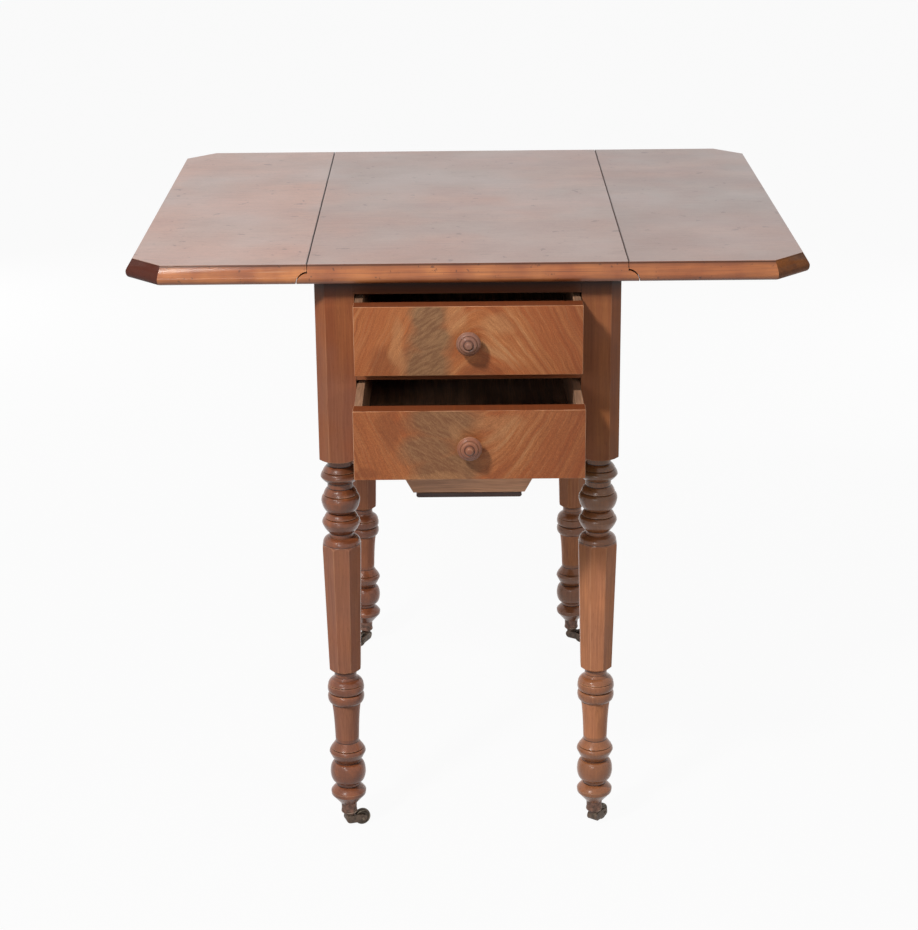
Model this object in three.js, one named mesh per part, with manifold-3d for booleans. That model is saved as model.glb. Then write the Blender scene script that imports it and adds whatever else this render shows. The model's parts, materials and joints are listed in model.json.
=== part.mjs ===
// A mahogany work table: a centre top with two leaves on rule joints, two drawers, a sliding wool box
// and four legs, part octagonal and part turned, on brass castors.
// Millimetres. +Z is up, +X to the right as one faces the drawers, +Y to the back.

import * as THREE from "three";
import { mergeVertices } from "three/addons/utils/BufferGeometryUtils.js";
import Module from "manifold-3d";

const wasm = await Module();
wasm.setup();

// Whole table
const tableHeight = 730;
const topLength = 652; // front to back, over the moulded edges
const carcassInset = 21; // moulded edge to the face of a post, front and back

// Top and leaves
const topThickness = 22;
const centreWidth = 361; // from rule joint to rule joint
const jointOverhang = 5.5; // rule joint beyond the side face of a post
const leafWidth = 210.5; // from the rule joint to the moulded edge
const cantLength = 41; // cut off each outer corner of a leaf
const edgeBulge = 8; // how far the moulded edge stands out from the flat of the top
const jointFillet = 9.3; // square lip of a leaf over the rule joint
const jointSeam = 1.2; // dark line between the centre top and a leaf
const jointClearance = 0.8; // between the cove of a leaf and the ovolo under it
const jointSteps = 7;

// Fitting
const seatGap = 0.3; // between two pieces where one is let into the other
const slideGap = 1.5; // beside and above a piece that slides
const overrun = 2; // how far a cut runs past the face that it opens

// Posts and legs
const postSize = 45;
const postChamfer = 12;
const upperTurningLength = 99; // from the post to the collar of the octagon
const lowerTurningLength = 178.5; // from the octagon to the castor
const castorHeight = 34;
const ringRadius = 23; // the widest rings of the upper turning
const footRadius = 22.3; // the widest rings of the lower turning
const octagonTopFlat = 22.9; // axis to flat
const octagonBottomFlat = 18.5;
const tenonLength = 10.5; // foot of a leg inside its castor
const turningSides = 12;
const octagonSides = 8;
const collarSides = 16; // round part of the octagon's collar, and of a post's foot
const arcPitch = 5.5; // length of outline for one facet of a bend
const arcSteps = 2; // most facets of a bend

// Carcass
const topRailHeight = 17;
const drawerOpening = 82; // height of each of the two openings
const bladeHeight = 20; // rail between the drawers
const bottomRailHeight = 19;
const railDepth = 25;
const railRecess = 0.5; // rails behind the face of the posts
const railTenonLength = 12;
const railTenonThickness = 10;
const railTenonShoulder = 2.5;
const panelThickness = 20;
const panelRecess = 1;
const tongueLength = 8;
const tongueThickness = 8;
const tongueShortening = 12; // a tongue is this much shorter than its panel at each end
const friezeDepth = 62; // inner rail behind a fly bracket
const runnerThickness = 15;
const runnerWidth = 14; // part of a runner that lies under a drawer side
const guideHeight = 25;

// Fly brackets, which hold the leaves up
const bracketLength = 165;
const bracketHeight = 58;
const bracketTipHeight = 24;
const bracketClearance = 0.6; // under a leaf, and round a folded bracket
const bracketPivotOffset = 80; // pivot behind the middle of the side
const bracketPinRadius = 2.5;
const bracketKnuckles = 3; // the middle one belongs to the bracket
const knuckleSides = 16;

// Rule joint hinges
const hingeLength = 50;
const hingePlate = 2;
const hingeFixedReach = 33;
const hingeLeafReach = 42;
const hingeKnuckleRadius = 2.8;
const hingePinRadius = 1.3;
const hingeKnuckleLength = 17;
const hingeSpacing = 400; // between the two hinges of a leaf
const hingeSides = 8;

// Drawers
const drawerOpenings = { top: 51, bottom: 114 }; // how far each is pulled out
const drawerSideClearance = 1; // between the front and a post
const drawerHeadroom = 1.2; // over the front
const drawerFrontThickness = 21;
const drawerLength = 560;
const drawerSideThickness = 9;
const drawerSideHeight = 77;
const drawerSideInset = 0.5; // side behind the end of the front
const drawerBackThickness = 9;
const drawerBackHeight = 60;
const drawerBottomThickness = 6;
const drawerBottomHeight = 7; // under face of the bottom above the lower edge
const drawerGroove = 4.5;
const dovetailLength = 13;
const dovetailCount = 3;
const dovetailRoot = 14;
const dovetailFlare = 2.5;

// Knobs
const knobRadius = 14;
const knobProjection = 24;
const knobTenonRadius = 5;
const knobTenonLength = 13;
const knobSides = 16;

// Wool box
const woolSetback = 97; // behind the face of the posts
const woolLength = 400;
const woolHeight = 78;
const woolTaper = 43; // how far each side leans in from its top to its foot
const woolEndThickness = 10;
const woolSideThickness = 8;
const woolBottomThickness = 6;
const noseSides = 10; // rounded edges of the bottom
const woolHeadroom = 1.5; // under the bottom rail
const woolFlangeHeight = 11;
const woolFlangeWidth = 13.5;
const woolFlangeInset = 9; // end of a flange inside the face of a post
const bearerWall = 12;
const bearerLip = 12;
const bearerLipThickness = 7;

// Castors
const cupRadius = 10.3;
const cupWall = 1.4;
const cupHeight = 16.4;
const cupFloor = 3;
const castorSides = 10;
const hornDiscRadius = 6;
const hornDiscThickness = 2.4;
const stemRadius = 2.5;
const stemHeadRadius = 4.2;
const stemHeadThickness = 1.6;
const hornWidth = 13;
const hornArmRadius = 4.6;
const hornHeelRadius = 5.6;
const wheelRadius = 10.5;
const wheelWidth = 7;
const wheelTrail = 16.5;
const wheelClearance = 0.8;
const axleRadius = 2;
const wheelFacets = 16;
const wheelRimWidth = 2.6;
const wheelDish = 1;

// How each castor has swivelled, as the direction in which its wheel trails
const castorTrails = {
  front_left: THREE.MathUtils.degToRad(20),
  front_right: THREE.MathUtils.degToRad(54),
  back_left: THREE.MathUtils.degToRad(-117),
  back_right: THREE.MathUtils.degToRad(-30),
};

// Heights and places that follow
const underside = tableHeight - topThickness;
const postLength = topRailHeight + 2 * drawerOpening + bladeHeight + bottomRailHeight;
const postBottom = underside - postLength;
const octagonTop = postBottom - upperTurningLength;
const octagonBottom = castorHeight + lowerTurningLength;
const octagonLength = octagonTop - octagonBottom;
const halfCarcass = centreWidth / 2 - jointOverhang;
const halfCarcassLength = topLength / 2 - carcassInset;
const postInner = halfCarcass - postSize;
const postInnerLength = halfCarcassLength - postSize;
const legX = halfCarcass - postSize / 2;
const legY = halfCarcassLength - postSize / 2;
const ruleX = centreWidth / 2;
const ruleRadius = topThickness - jointFillet;
const panelOuter = halfCarcass - panelRecess;
const panelInner = panelOuter - panelThickness;
const frontFace = -halfCarcassLength;
const railFront = frontFace + railRecess;
const railBack = railFront + railDepth;
const backPanelFront = halfCarcassLength - panelRecess - panelThickness;
const openingTop = { top: underside - topRailHeight };
openingTop.bottom = openingTop.top - drawerOpening - bladeHeight;
const runnerTop = { top: openingTop.top - drawerOpening, bottom: openingTop.bottom - drawerOpening };
const drawerFrontWidth = 2 * (postInner - drawerSideClearance);
const drawerFrontHeight = drawerOpening - drawerHeadroom - seatGap;
const runnerInner = postInner - runnerWidth;
const woolFlangeReach = postInner - woolFlangeInset;
const woolTopWidth = 2 * (woolFlangeReach - woolFlangeWidth);
const woolBottomWidth = woolTopWidth - 2 * woolTaper;
const tenonRadius = (cupRadius - cupWall) * Math.cos(Math.PI / castorSides) - seatGap;
const rightAngle = Math.PI / 2;

// One closed solid from a closed geometry, with its shared vertices merged and its faces pointing out
const mergeTolerance = 1e-4;
function solidOf(geometry) {
  const bare = geometry.clone();
  bare.deleteAttribute("normal");
  bare.deleteAttribute("uv");
  const merged = mergeVertices(bare, mergeTolerance);
  const places = merged.attributes.position;
  const index = merged.index.array;
  const [a, b, c] = [new THREE.Vector3(), new THREE.Vector3(), new THREE.Vector3()];
  const faces = [];
  let volume = 0;
  for (let i = 0; i < index.length; i += 3) {
    const [p, q, r] = index.slice(i, i + 3);
    if (p === q || q === r || r === p) continue;
    faces.push([p, q, r]);
    a.fromBufferAttribute(places, p);
    b.fromBufferAttribute(places, q);
    c.fromBufferAttribute(places, r);
    volume += a.dot(b.cross(c));
  }
  const outward = volume > 0 ? faces : faces.map(([p, q, r]) => [p, r, q]);
  return new wasm.Manifold(
    new wasm.Mesh({
      numProp: 3,
      vertProperties: Float32Array.from(places.array),
      triVerts: Uint32Array.from(outward.flat()),
    }),
  );
}

// A geometry from a solid
function geometryOf(solid) {
  const mesh = solid.getMesh();
  const geometry = new THREE.BufferGeometry();
  geometry.setAttribute("position", new THREE.BufferAttribute(mesh.vertProperties, mesh.numProp));
  geometry.setIndex(new THREE.BufferAttribute(mesh.triVerts, 1));
  geometry.computeVertexNormals();
  return geometry;
}

const join = (...solids) => solids.reduce((whole, piece) => whole.add(piece));
const cut = (solid, ...cutters) => cutters.reduce((rest, cutter) => rest.subtract(cutter), solid);

// A block between two corners
function block(x0, x1, y0, y1, z0, z1) {
  const geometry = new THREE.BoxGeometry(x1 - x0, y1 - y0, z1 - z0);
  geometry.translate((x0 + x1) / 2, (y0 + y1) / 2, (z0 + z1) / 2);
  return solidOf(geometry);
}

const xAxis = new THREE.Vector3(1, 0, 0);
const yAxis = new THREE.Vector3(0, 1, 0);
const zAxis = new THREE.Vector3(0, 0, 1);
const basis = (u, v, w) => new THREE.Matrix4().makeBasis(u, v, w);

// A flat outline, given as points across the named axis, drawn out along it from one place to another
const alongAxis = {
  x: basis(yAxis, zAxis, xAxis),
  y: basis(zAxis, xAxis, yAxis),
  z: basis(xAxis, yAxis, zAxis),
};
function prism(axis, points, from, to) {
  const corners = points.map(([u, v]) => new THREE.Vector2(...(axis === "y" ? [v, u] : [u, v])));
  const settings = { depth: to - from, bevelEnabled: false };
  const geometry = new THREE.ExtrudeGeometry(new THREE.Shape(corners), settings);
  geometry.translate(0, 0, from);
  return solidOf(geometry.applyMatrix4(alongAxis[axis]));
}

// A round bar along the named axis, centred on a point across it
const fromCylinder = {
  x: basis(yAxis, xAxis, zAxis.clone().negate()),
  y: new THREE.Matrix4(),
  z: basis(xAxis, zAxis, yAxis.clone().negate()),
};
function bar(axis, u, v, radius, from, to, sides, turn = 0) {
  const geometry = new THREE.CylinderGeometry(radius, radius, to - from, sides);
  geometry.rotateY(turn);
  geometry.translate(0, (from + to) / 2, 0);
  geometry.applyMatrix4(fromCylinder[axis]);
  const place = { x: [0, u, v], y: [u, 0, v], z: [u, v, 0] }[axis];
  return solidOf(geometry.translate(...place));
}

// A turned solid about the vertical axis, from an outline of [radius, height] points
function turned(outline, sides) {
  const points = outline.map((point) => (point.isVector2 ? point : new THREE.Vector2(...point)));
  const geometry = new THREE.LatheGeometry(points, sides);
  return solidOf(geometry.rotateX(rightAngle));
}

// The points of a turned outline. Each row is [height, radius, fullness]: the fullness bends the stretch
// that ends there, from 1 for a round bead, through 0 for a straight cone, to -1 for a hollow cove.
function turnedOutline(rows) {
  const outline = [];
  rows.forEach(([height, radius, fullness], i) => {
    const end = new THREE.Vector2(radius, height);
    if (i > 0 && fullness !== 0) {
      const start = outline[outline.length - 1];
      const steps = Math.min(arcSteps, Math.ceil(start.distanceTo(end) / arcPitch));
      const [thin, thick] = start.x < end.x ? [start, end] : [end, start];
      const middle = start.clone().lerp(end, 1 / 2);
      const bulge = fullness > 0 ? new THREE.Vector2(thick.x, thin.y) : new THREE.Vector2(thin.x, thick.y);
      const control = middle.lerp(bulge, Math.abs(fullness));
      outline.push(...new THREE.QuadraticBezierCurve(start, control, end).getPoints(steps).slice(1));
    } else outline.push(end);
  });
  return outline;
}

const finish = (look) => new THREE.MeshStandardMaterial(look);
const timber = (color, roughness = 0.45) => finish({ color, roughness, metalness: 0 });
const metal = (color, roughness = 0.5) => finish({ color, roughness, metalness: 1 });
const materials = {
  top: timber(0x9a7566, 0.3),
  mahogany: timber(0x8c5138),
  veneer: timber(0xa66c46, 0.35),
  knob: timber(0x7a4a33, 0.35),
  lining: timber(0x8d6f58, 0.7),
  wool: timber(0x946f5a, 0.6),
  ebonised: timber(0x33231d, 0.5),
  brass: metal(0x6b5f4a),
  iron: metal(0x4c4742, 0.6),
};

function piece(name, solid, material) {
  const mesh = new THREE.Mesh(geometryOf(solid), materials[material]);
  mesh.name = name;
  return mesh;
}

function grouped(...children) {
  const group = new THREE.Group();
  group.add(...children);
  return group;
}

// Top: the thumb moulding, as [inset, depth] shares of its bulge and of the thickness of the top
const edgeShares = [
  [1, 0],
  [0.86, 0.05],
  [0.79, 0.15],
  [0.84, 0.17],
  [0.62, 0.2],
  [0.3, 0.3],
  [0.08, 0.43],
  [0, 0.6],
  [0.1, 0.78],
  [0.34, 0.93],
  [0.66, 1],
];

// The corners of an outline after each of its sides has moved in by its own distance
function inset(corners, distances) {
  const lines = corners.map((corner, i) => {
    const along = corners[(i + 1) % corners.length].clone().sub(corner).normalize();
    const inward = new THREE.Vector2(-along.y, along.x);
    return { along, inward, offset: corner.dot(inward) + distances[i] };
  });
  return lines.map((line, i) => {
    const before = lines[(i + lines.length - 1) % lines.length];
    const spread = before.inward.cross(line.inward);
    return new THREE.Vector2(
      (before.offset * line.inward.y - line.offset * before.inward.y) / spread,
      (line.offset * before.inward.x - before.offset * line.inward.x) / spread,
    );
  });
}

// A board with the thumb moulding on some of its sides, from a convex outline that runs anticlockwise
function mouldedBoard(corners, moulded) {
  const outline = corners.map(([x, y]) => new THREE.Vector2(x, y));
  const rings = edgeShares.map(([insetShare, depthShare]) =>
    inset(outline, moulded.map((shaped) => (shaped ? insetShare * edgeBulge : 0))).map(
      ({ x, y }) => new THREE.Vector3(x, y, tableHeight - depthShare * topThickness),
    ),
  );
  const sides = outline.length;
  const index = [];
  const at = (ring, corner) => ring * sides + (corner % sides);
  for (let ring = 1; ring < rings.length; ring++) {
    for (let i = 0; i < sides; i++) {
      index.push(at(ring, i), at(ring, i + 1), at(ring - 1, i + 1));
      index.push(at(ring, i), at(ring - 1, i + 1), at(ring - 1, i));
    }
  }
  for (let i = 1; i < sides - 1; i++) {
    index.push(at(0, 0), at(0, i), at(0, i + 1));
    index.push(at(rings.length - 1, 0), at(rings.length - 1, i + 1), at(rings.length - 1, i));
  }
  const geometry = new THREE.BufferGeometry().setFromPoints(rings.flat());
  geometry.setIndex(index);
  return solidOf(geometry);
}

// Quarter of a circle about the rule joint's axis, from over the axis round to the level of the axis
function ruleArc(radius) {
  return Array.from({ length: jointSteps + 1 }, (_, i) => {
    const angle = rightAngle * (1 - i / jointSteps);
    return [ruleX + radius * Math.cos(angle), underside + radius * Math.sin(angle)];
  });
}

const halfTop = topLength / 2;
const pastEdge = halfTop + overrun;
const hingeRows = [-hingeSpacing / 2, hingeSpacing / 2];

// Sinking for one hinge, on the right hand side: for the plates on both sides of the axis, with a round
// groove for the knuckles
function hingeSinking(y) {
  const halfSinking = hingeLength / 2 + seatGap;
  const roof = underside + hingePlate + 2 * seatGap;
  const plates = block(
    ruleX - hingeFixedReach - seatGap,
    ruleX + hingeLeafReach + seatGap,
    y - halfSinking,
    y + halfSinking,
    underside - overrun,
    roof,
  );
  const grooveRadius = hingeKnuckleRadius + seatGap;
  return join(plates, bar("y", ruleX, underside, grooveRadius, y - halfSinking, y + halfSinking, hingeSides));
}

function centreTop() {
  const reach = ruleX + ruleRadius;
  const board = mouldedBoard(
    [
      [-reach, -halfTop],
      [reach, -halfTop],
      [reach, halfTop],
      [-reach, halfTop],
    ],
    [true, false, true, false],
  );
  const overJoint = [
    ...ruleArc(ruleRadius),
    [reach + overrun, underside],
    [reach + overrun, tableHeight + overrun],
    [ruleX, tableHeight + overrun],
  ];
  const rightCut = join(prism("y", overJoint, -pastEdge, pastEdge), ...hingeRows.map(hingeSinking));
  return cut(board, rightCut, rightCut.mirror([1, 0, 0]));
}

function rightLeaf() {
  const inner = ruleX + jointSeam;
  const outer = ruleX + leafWidth;
  const board = mouldedBoard(
    [
      [inner, -halfTop],
      [outer - cantLength, -halfTop],
      [outer, -halfTop + cantLength],
      [outer, halfTop - cantLength],
      [outer - cantLength, halfTop],
      [inner, halfTop],
    ],
    [true, true, true, true, true, false],
  );
  const coveRadius = ruleRadius + jointClearance;
  const cove = [
    ...ruleArc(coveRadius),
    [ruleX + coveRadius, underside - overrun],
    [ruleX, underside - overrun],
  ];
  return cut(board, prism("y", cove, -pastEdge, pastEdge), ...hingeRows.map(hingeSinking));
}

// Hinge on the right hand side, about the axis of the rule joint. The plate under the centre top carries
// the pin.
function hingePlates(y) {
  const half = hingeLength / 2;
  const shoulder = hingeKnuckleRadius + 2 * seatGap;
  const [low, high] = [underside + seatGap, underside + seatGap + hingePlate];
  const middle = hingeKnuckleLength / 2;
  const gapped = middle + seatGap;
  const knuckle = (y0, y1) => bar("y", ruleX, underside, hingeKnuckleRadius, y0, y1, hingeSides);
  const fixed = join(
    block(ruleX - hingeFixedReach, ruleX - shoulder, y - half, y + half, low, high),
    block(ruleX - shoulder - hingePlate, ruleX - hingePlate / 2, y - half, y - gapped, low, high),
    block(ruleX - shoulder - hingePlate, ruleX - hingePlate / 2, y + gapped, y + half, low, high),
    knuckle(y - half, y - gapped),
    knuckle(y + gapped, y + half),
    bar("y", ruleX, underside, hingePinRadius, y - half, y + half, hingeSides),
  );
  const moving = join(
    block(ruleX + shoulder, ruleX + hingeLeafReach, y - half, y + half, low, high),
    block(ruleX + hingePlate / 2, ruleX + shoulder + hingePlate, y - middle, y + middle, low, high),
    knuckle(y - middle, y + middle),
  );
  const bore = bar("y", ruleX, underside, hingePinRadius + seatGap, y - half, y + half, hingeSides);
  return { fixed, moving: cut(moving, bore) };
}

// Legs. Rows of the turnings: [height share from their top down, radius share of their widest ring, fullness]
const upperShares = [
  [-0.02, 0.635, 0],
  [0.101, 0.635, 0],
  [0.186, 0.89, 0.35],
  [0.232, 1, 0.9],
  [0.303, 0.657, 0.6],
  [0.374, 0.657, 0],
  [0.485, 0.945, 0.5],
  [0.535, 1, 0.9],
  [0.687, 0.643, 0.75],
  [0.773, 0.935, 0.5],
  [0.818, 0.99, 0.9],
  [0.951, 0.62, 0.6],
  [1, 0.61, 0],
];
const lowerShares = [
  [-0.02, 0.605, 0],
  [0.02, 0.605, 0],
  [0.078, 0.945, 0.7],
  [0.115, 1, 0.9],
  [0.153, 0.925, 0.9],
  [0.183, 1, 0.9],
  [0.233, 0.8, 0.8],
  [0.522, 0.645, -0.5],
  [0.583, 0.965, 0.4],
  [0.602, 1, 0.9],
  [0.677, 0.665, 0.6],
  [0.681, 0.7, 0],
  [0.758, 0.978, 0.9],
  [0.843, 0.645, 0.85],
  [0.852, 0.645, 0],
  [0.903, 0.969, 0.55],
  [0.933, 0.92, 0.9],
  [0.989, 0.538, 0],
  [1, 0.467, 0],
];

// Collar over the octagon: [height share and radius share of the octagon's flat at its top, fullness]
const collarShares = [
  [0, 0.61, 0],
  [0.37, 0.982, 0.9],
  [0.59, 1.079, 0.3],
];
const octagonFootShare = 0.27; // height of the cone under the octagon, of its flat there

// Corner of a post that the turner's gouge has rounded: [height share of the post size, radius share of it]
const shoulderShares = [
  [-0.03, 0.35],
  [-0.01, 0.5],
  [0.04, 0.6],
  [0.1, 0.69],
  [0.16, 0.75],
];

function turnedRows(shares, top, length, radius) {
  return shares.map(([heightShare, radiusShare, fullness]) => {
    const height = top - heightShare * length;
    return [height, radiusShare * radius, fullness];
  });
}

function post(sideX, sideY) {
  const half = postSize / 2;
  const square = [
    [-half, -half],
    [half, -half],
    [half, half - postChamfer],
    [half - postChamfer, half],
    [-half, half],
  ];
  const corners = square.map(([x, y]) => [sideX * x, sideY * y]);
  const foot = shoulderShares.map(([heightShare, radiusShare]) => [
    radiusShare * postSize,
    postBottom + heightShare * postSize,
  ]);
  const above = underside + overrun;
  const round = turned([[0, foot[0][1]], ...foot, [postSize, above], [0, above]], collarSides);
  return prism("z", corners, postBottom - overrun, underside).intersect(round);
}

function octagon() {
  const halfFacet = Math.PI / octagonSides;
  const corner = 1 / Math.cos(halfFacet);
  const [topCorner, bottomCorner] = [octagonTopFlat * corner, octagonBottomFlat * corner];
  const shape = new THREE.CylinderGeometry(topCorner, bottomCorner, octagonLength, octagonSides);
  shape.rotateY(halfFacet).rotateX(rightAngle).translate(0, 0, (octagonTop + octagonBottom) / 2);
  const collar = turnedOutline(turnedRows(collarShares, octagonTop, octagonTopFlat, octagonTopFlat));
  const foot = [
    [bottomCorner, octagonBottom + octagonFootShare * octagonBottomFlat],
    [lowerShares[0][1] * footRadius, octagonBottom],
  ];
  const round = turned([[0, octagonTop], ...collar, ...foot, [0, octagonBottom]], collarSides);
  return solidOf(shape).intersect(round);
}

function legTurnings() {
  const upper = turnedOutline(turnedRows(upperShares, postBottom, upperTurningLength, ringRadius));
  const neck = [upper[upper.length - 1].x, octagonTop - overrun];
  const lower = turnedOutline(turnedRows(lowerShares, octagonBottom, lowerTurningLength, footRadius));
  const tenonEnd = castorHeight - tenonLength;
  const tenon = [
    [tenonRadius, castorHeight],
    [tenonRadius, tenonEnd],
    [0, tenonEnd],
  ];
  return join(
    turned([[0, upper[0].y], ...upper, neck, [0, neck[1]]], turningSides),
    turned([[0, lower[0].y], ...lower, ...tenon], turningSides),
    octagon(),
  );
}

// Mortises in the posts, in the table's frame and on the right hand side
const railHeights = [
  [openingTop.top, underside],
  [openingTop.bottom, runnerTop.top],
  [postBottom, runnerTop.bottom],
];
const tenonFront = railFront + (railDepth - railTenonThickness) / 2;

function railTenons(side, gap) {
  const reach = postInner + railTenonLength + gap;
  const [x0, x1] = side > 0 ? [postInner - overrun, reach] : [-reach, -postInner + overrun];
  const [y0, y1] = [tenonFront - gap, tenonFront + railTenonThickness + gap];
  const shoulder = railTenonShoulder - gap;
  return railHeights.map(([low, high]) => block(x0, x1, y0, y1, low + shoulder, high - shoulder));
}

const tongueBottom = postBottom + tongueShortening;
const tongueTop = underside - tongueShortening;

// The tongues at both ends of the right hand side panel
function sideTongues(gap) {
  const middle = (panelInner + panelOuter) / 2;
  const reach = postInnerLength + tongueLength + gap;
  const half = tongueThickness / 2 + gap;
  return block(middle - half, middle + half, -reach, reach, tongueBottom - gap, tongueTop + gap);
}

// The tongues at both ends of the back panel
function backTongues(gap) {
  const middle = backPanelFront + panelThickness / 2;
  const reach = postInner + tongueLength + gap;
  const half = tongueThickness / 2 + gap;
  return block(-reach, reach, middle - half, middle + half, tongueBottom - gap, tongueTop + gap);
}

function legs() {
  const turnings = legTurnings();
  const sides = { left: -1, right: 1 };
  const ends = { front: -1, back: 1 };
  return Object.entries(ends).flatMap(([end, sideY]) =>
    Object.entries(sides).map(([side, sideX]) => {
      const place = [sideX * legX, sideY * legY, 0];
      const mortises = sideY < 0 ? railTenons(sideX, seatGap) : [backTongues(seatGap)];
      const tongues = sideX > 0 ? sideTongues(seatGap) : sideTongues(seatGap).mirror([1, 0, 0]);
      const whole = join(post(sideX, sideY), turnings).translate(place);
      const back = place.map((value) => -value);
      const mesh = piece(`leg_${end}_${side}`, cut(whole, ...mortises, tongues).translate(back), "mahogany");
      mesh.position.set(...place);
      return mesh;
    }),
  );
}

function frontRails() {
  const names = ["front_top_rail", "drawer_divider_rail", "front_bottom_rail"];
  const right = railTenons(1, 0);
  const left = railTenons(-1, 0);
  return railHeights.map(([low, high], i) => {
    const rail = block(-postInner, postInner, railFront, railBack, low, high);
    return piece(names[i], join(rail, right[i], left[i]), "mahogany");
  });
}

// Fly bracket on the right hand side, about its pivot: it lies along -Y when it is folded
const bracketThickness = panelThickness - 2 * seatGap;
const bracketTop = underside - bracketClearance;
const bracketBottom = bracketTop - bracketHeight;
const bracketX = (panelInner + panelOuter) / 2;
const knuckleRadius = bracketThickness / 2;
const knuckleReach = knuckleRadius + bracketClearance;
const fingerHeight = bracketHeight / bracketKnuckles;

// Side view of a bracket, with its underside swept up to the tip: length shares and rise shares
const bracketSweepShares = [
  [0.55, 0],
  [0.68, 0.08],
  [0.76, 0.45],
  [0.84, 0.85],
  [0.94, 1],
];

function bracketOutline(gap) {
  const tip = -bracketLength - gap;
  const rise = bracketHeight - bracketTipHeight;
  const sweep = bracketSweepShares.map(([lengthShare, riseShare]) => [
    -lengthShare * bracketLength - gap,
    bracketBottom + riseShare * rise - gap,
  ]);
  return [
    [-knuckleReach, bracketBottom - gap],
    ...sweep,
    [tip, bracketBottom + rise - gap],
    [tip, bracketTop],
    [-knuckleReach, bracketTop],
  ].reverse();
}

const middleFinger = [bracketBottom + fingerHeight, bracketBottom + 2 * fingerHeight];

function flyBracket() {
  const [low, high] = [middleFinger[0] + seatGap, middleFinger[1] - seatGap];
  const body = prism("x", bracketOutline(0), -knuckleRadius, knuckleRadius);
  const neck = block(-knuckleRadius, knuckleRadius, -knuckleReach - overrun, 0, low, high);
  const knuckle = bar("z", 0, 0, knuckleRadius, low, high, knuckleSides);
  const bore = bar("z", 0, 0, bracketPinRadius + seatGap, bracketBottom, bracketTop, knuckleSides);
  return cut(join(body, neck, knuckle), bore);
}

// Side panel on the right: the outer board, the inner rail behind the bracket, and the fixed knuckles with
// their pin
function sidePanel() {
  const friezeBottom = underside - friezeDepth;
  const length = postInnerLength;
  const outer = block(panelInner, panelOuter, -length, length, postBottom, underside);
  const railInner = postInner + drawerSideClearance;
  const innerRail = block(railInner, panelInner, -length, length, friezeBottom, underside);
  const kicker = block(runnerInner, panelInner, -length, length, openingTop.top, underside);
  const outline = bracketOutline(bracketClearance).map(([y, z]) => [
    y + bracketPivotOffset,
    z === bracketTop ? underside + overrun : z,
  ]);
  const notch = prism("x", outline, panelInner, panelOuter + overrun);
  const endFace = bracketPivotOffset + knuckleReach;
  const knuckleSpace = block(
    panelInner,
    panelOuter + overrun,
    bracketPivotOffset - knuckleReach - overrun,
    endFace,
    bracketBottom - bracketClearance,
    underside + overrun,
  );
  const knuckleSpan = [bracketX - knuckleRadius, bracketX + knuckleRadius];
  const fingers = [
    [bracketBottom, middleFinger[0]],
    [middleFinger[1], bracketTop],
  ].map(([low, high]) =>
    join(
      bar("z", bracketX, bracketPivotOffset, knuckleRadius, low, high, knuckleSides),
      block(...knuckleSpan, bracketPivotOffset, endFace + overrun, low, high),
    ),
  );
  const pivot = [bracketX, bracketPivotOffset];
  const pin = bar("z", ...pivot, bracketPinRadius, bracketBottom, bracketTop, knuckleSides);
  const board = join(cut(join(outer, sideTongues(0)), notch, knuckleSpace), ...fingers, pin);
  return join(board, innerRail, kicker);
}

// Runner on the right hand side for one drawer, with the guide that its side slides along
function runner(top) {
  const low = top - runnerThickness;
  const length = postInnerLength;
  return join(
    block(runnerInner, postInner, railBack, backPanelFront, low, top),
    block(runnerInner, panelInner, -length, length, low, top),
    block(postInner, panelInner, -length, length, low, top + guideHeight),
  );
}

// Bearer on the right hand side, which carries a flange of the wool box
const flangeUnderside = postBottom - woolHeadroom - woolFlangeHeight;
const lipTop = flangeUnderside - seatGap;

function bearer() {
  const roof = runnerTop.bottom - runnerThickness;
  const lipBottom = lipTop - bearerLipThickness;
  const inner = woolFlangeReach + slideGap / 2;
  const length = postInnerLength;
  return join(
    block(inner, inner + bearerWall, -length, length, lipBottom, roof),
    block(inner - bearerLip, inner, -length, length, lipBottom, lipTop),
  );
}

function mirrored(name, solid, material) {
  return [piece(`${name}_right`, solid, material), piece(`${name}_left`, solid.mirror([1, 0, 0]), material)];
}

function carcass() {
  const backPanelBack = backPanelFront + panelThickness;
  const panel = block(-postInner, postInner, backPanelFront, backPanelBack, postBottom, underside);
  return [
    ...legs(),
    ...frontRails(),
    ...mirrored("side_panel", sidePanel(), "mahogany"),
    piece("back_panel", join(panel, backTongues(0)), "mahogany"),
    ...mirrored("top_drawer_runner", runner(runnerTop.top), "lining"),
    ...mirrored("bottom_drawer_runner", runner(runnerTop.bottom), "lining"),
    ...mirrored("wool_box_bearer", bearer(), "lining"),
  ];
}

// Drawer, about the middle of its lower front edge: +Y runs to its back
const sideOuter = drawerFrontWidth / 2 - drawerSideInset;
const sideInner = sideOuter - drawerSideThickness;
const bottomLow = drawerBottomHeight;
const bottomHigh = bottomLow + drawerBottomThickness;

// The tails of the right hand side, or with a gap the sockets for them
function dovetails(gap) {
  const pitch = drawerSideHeight / dovetailCount;
  const tip = drawerFrontThickness - dovetailLength - gap;
  return Array.from({ length: dovetailCount }, (_, i) => {
    const middle = pitch * (i + 1 / 2);
    const root = dovetailRoot / 2 + gap;
    const flared = root + dovetailFlare;
    const slope = dovetailFlare / dovetailLength;
    const rootY = drawerFrontThickness + overrun;
    return prism(
      "x",
      [
        [rootY, middle - root + slope * overrun],
        [rootY, middle + root - slope * overrun],
        [tip, middle + flared],
        [tip, middle - flared],
      ],
      sideInner - gap,
      gap > 0 ? drawerFrontWidth / 2 + overrun : sideOuter,
    );
  });
}

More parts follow.
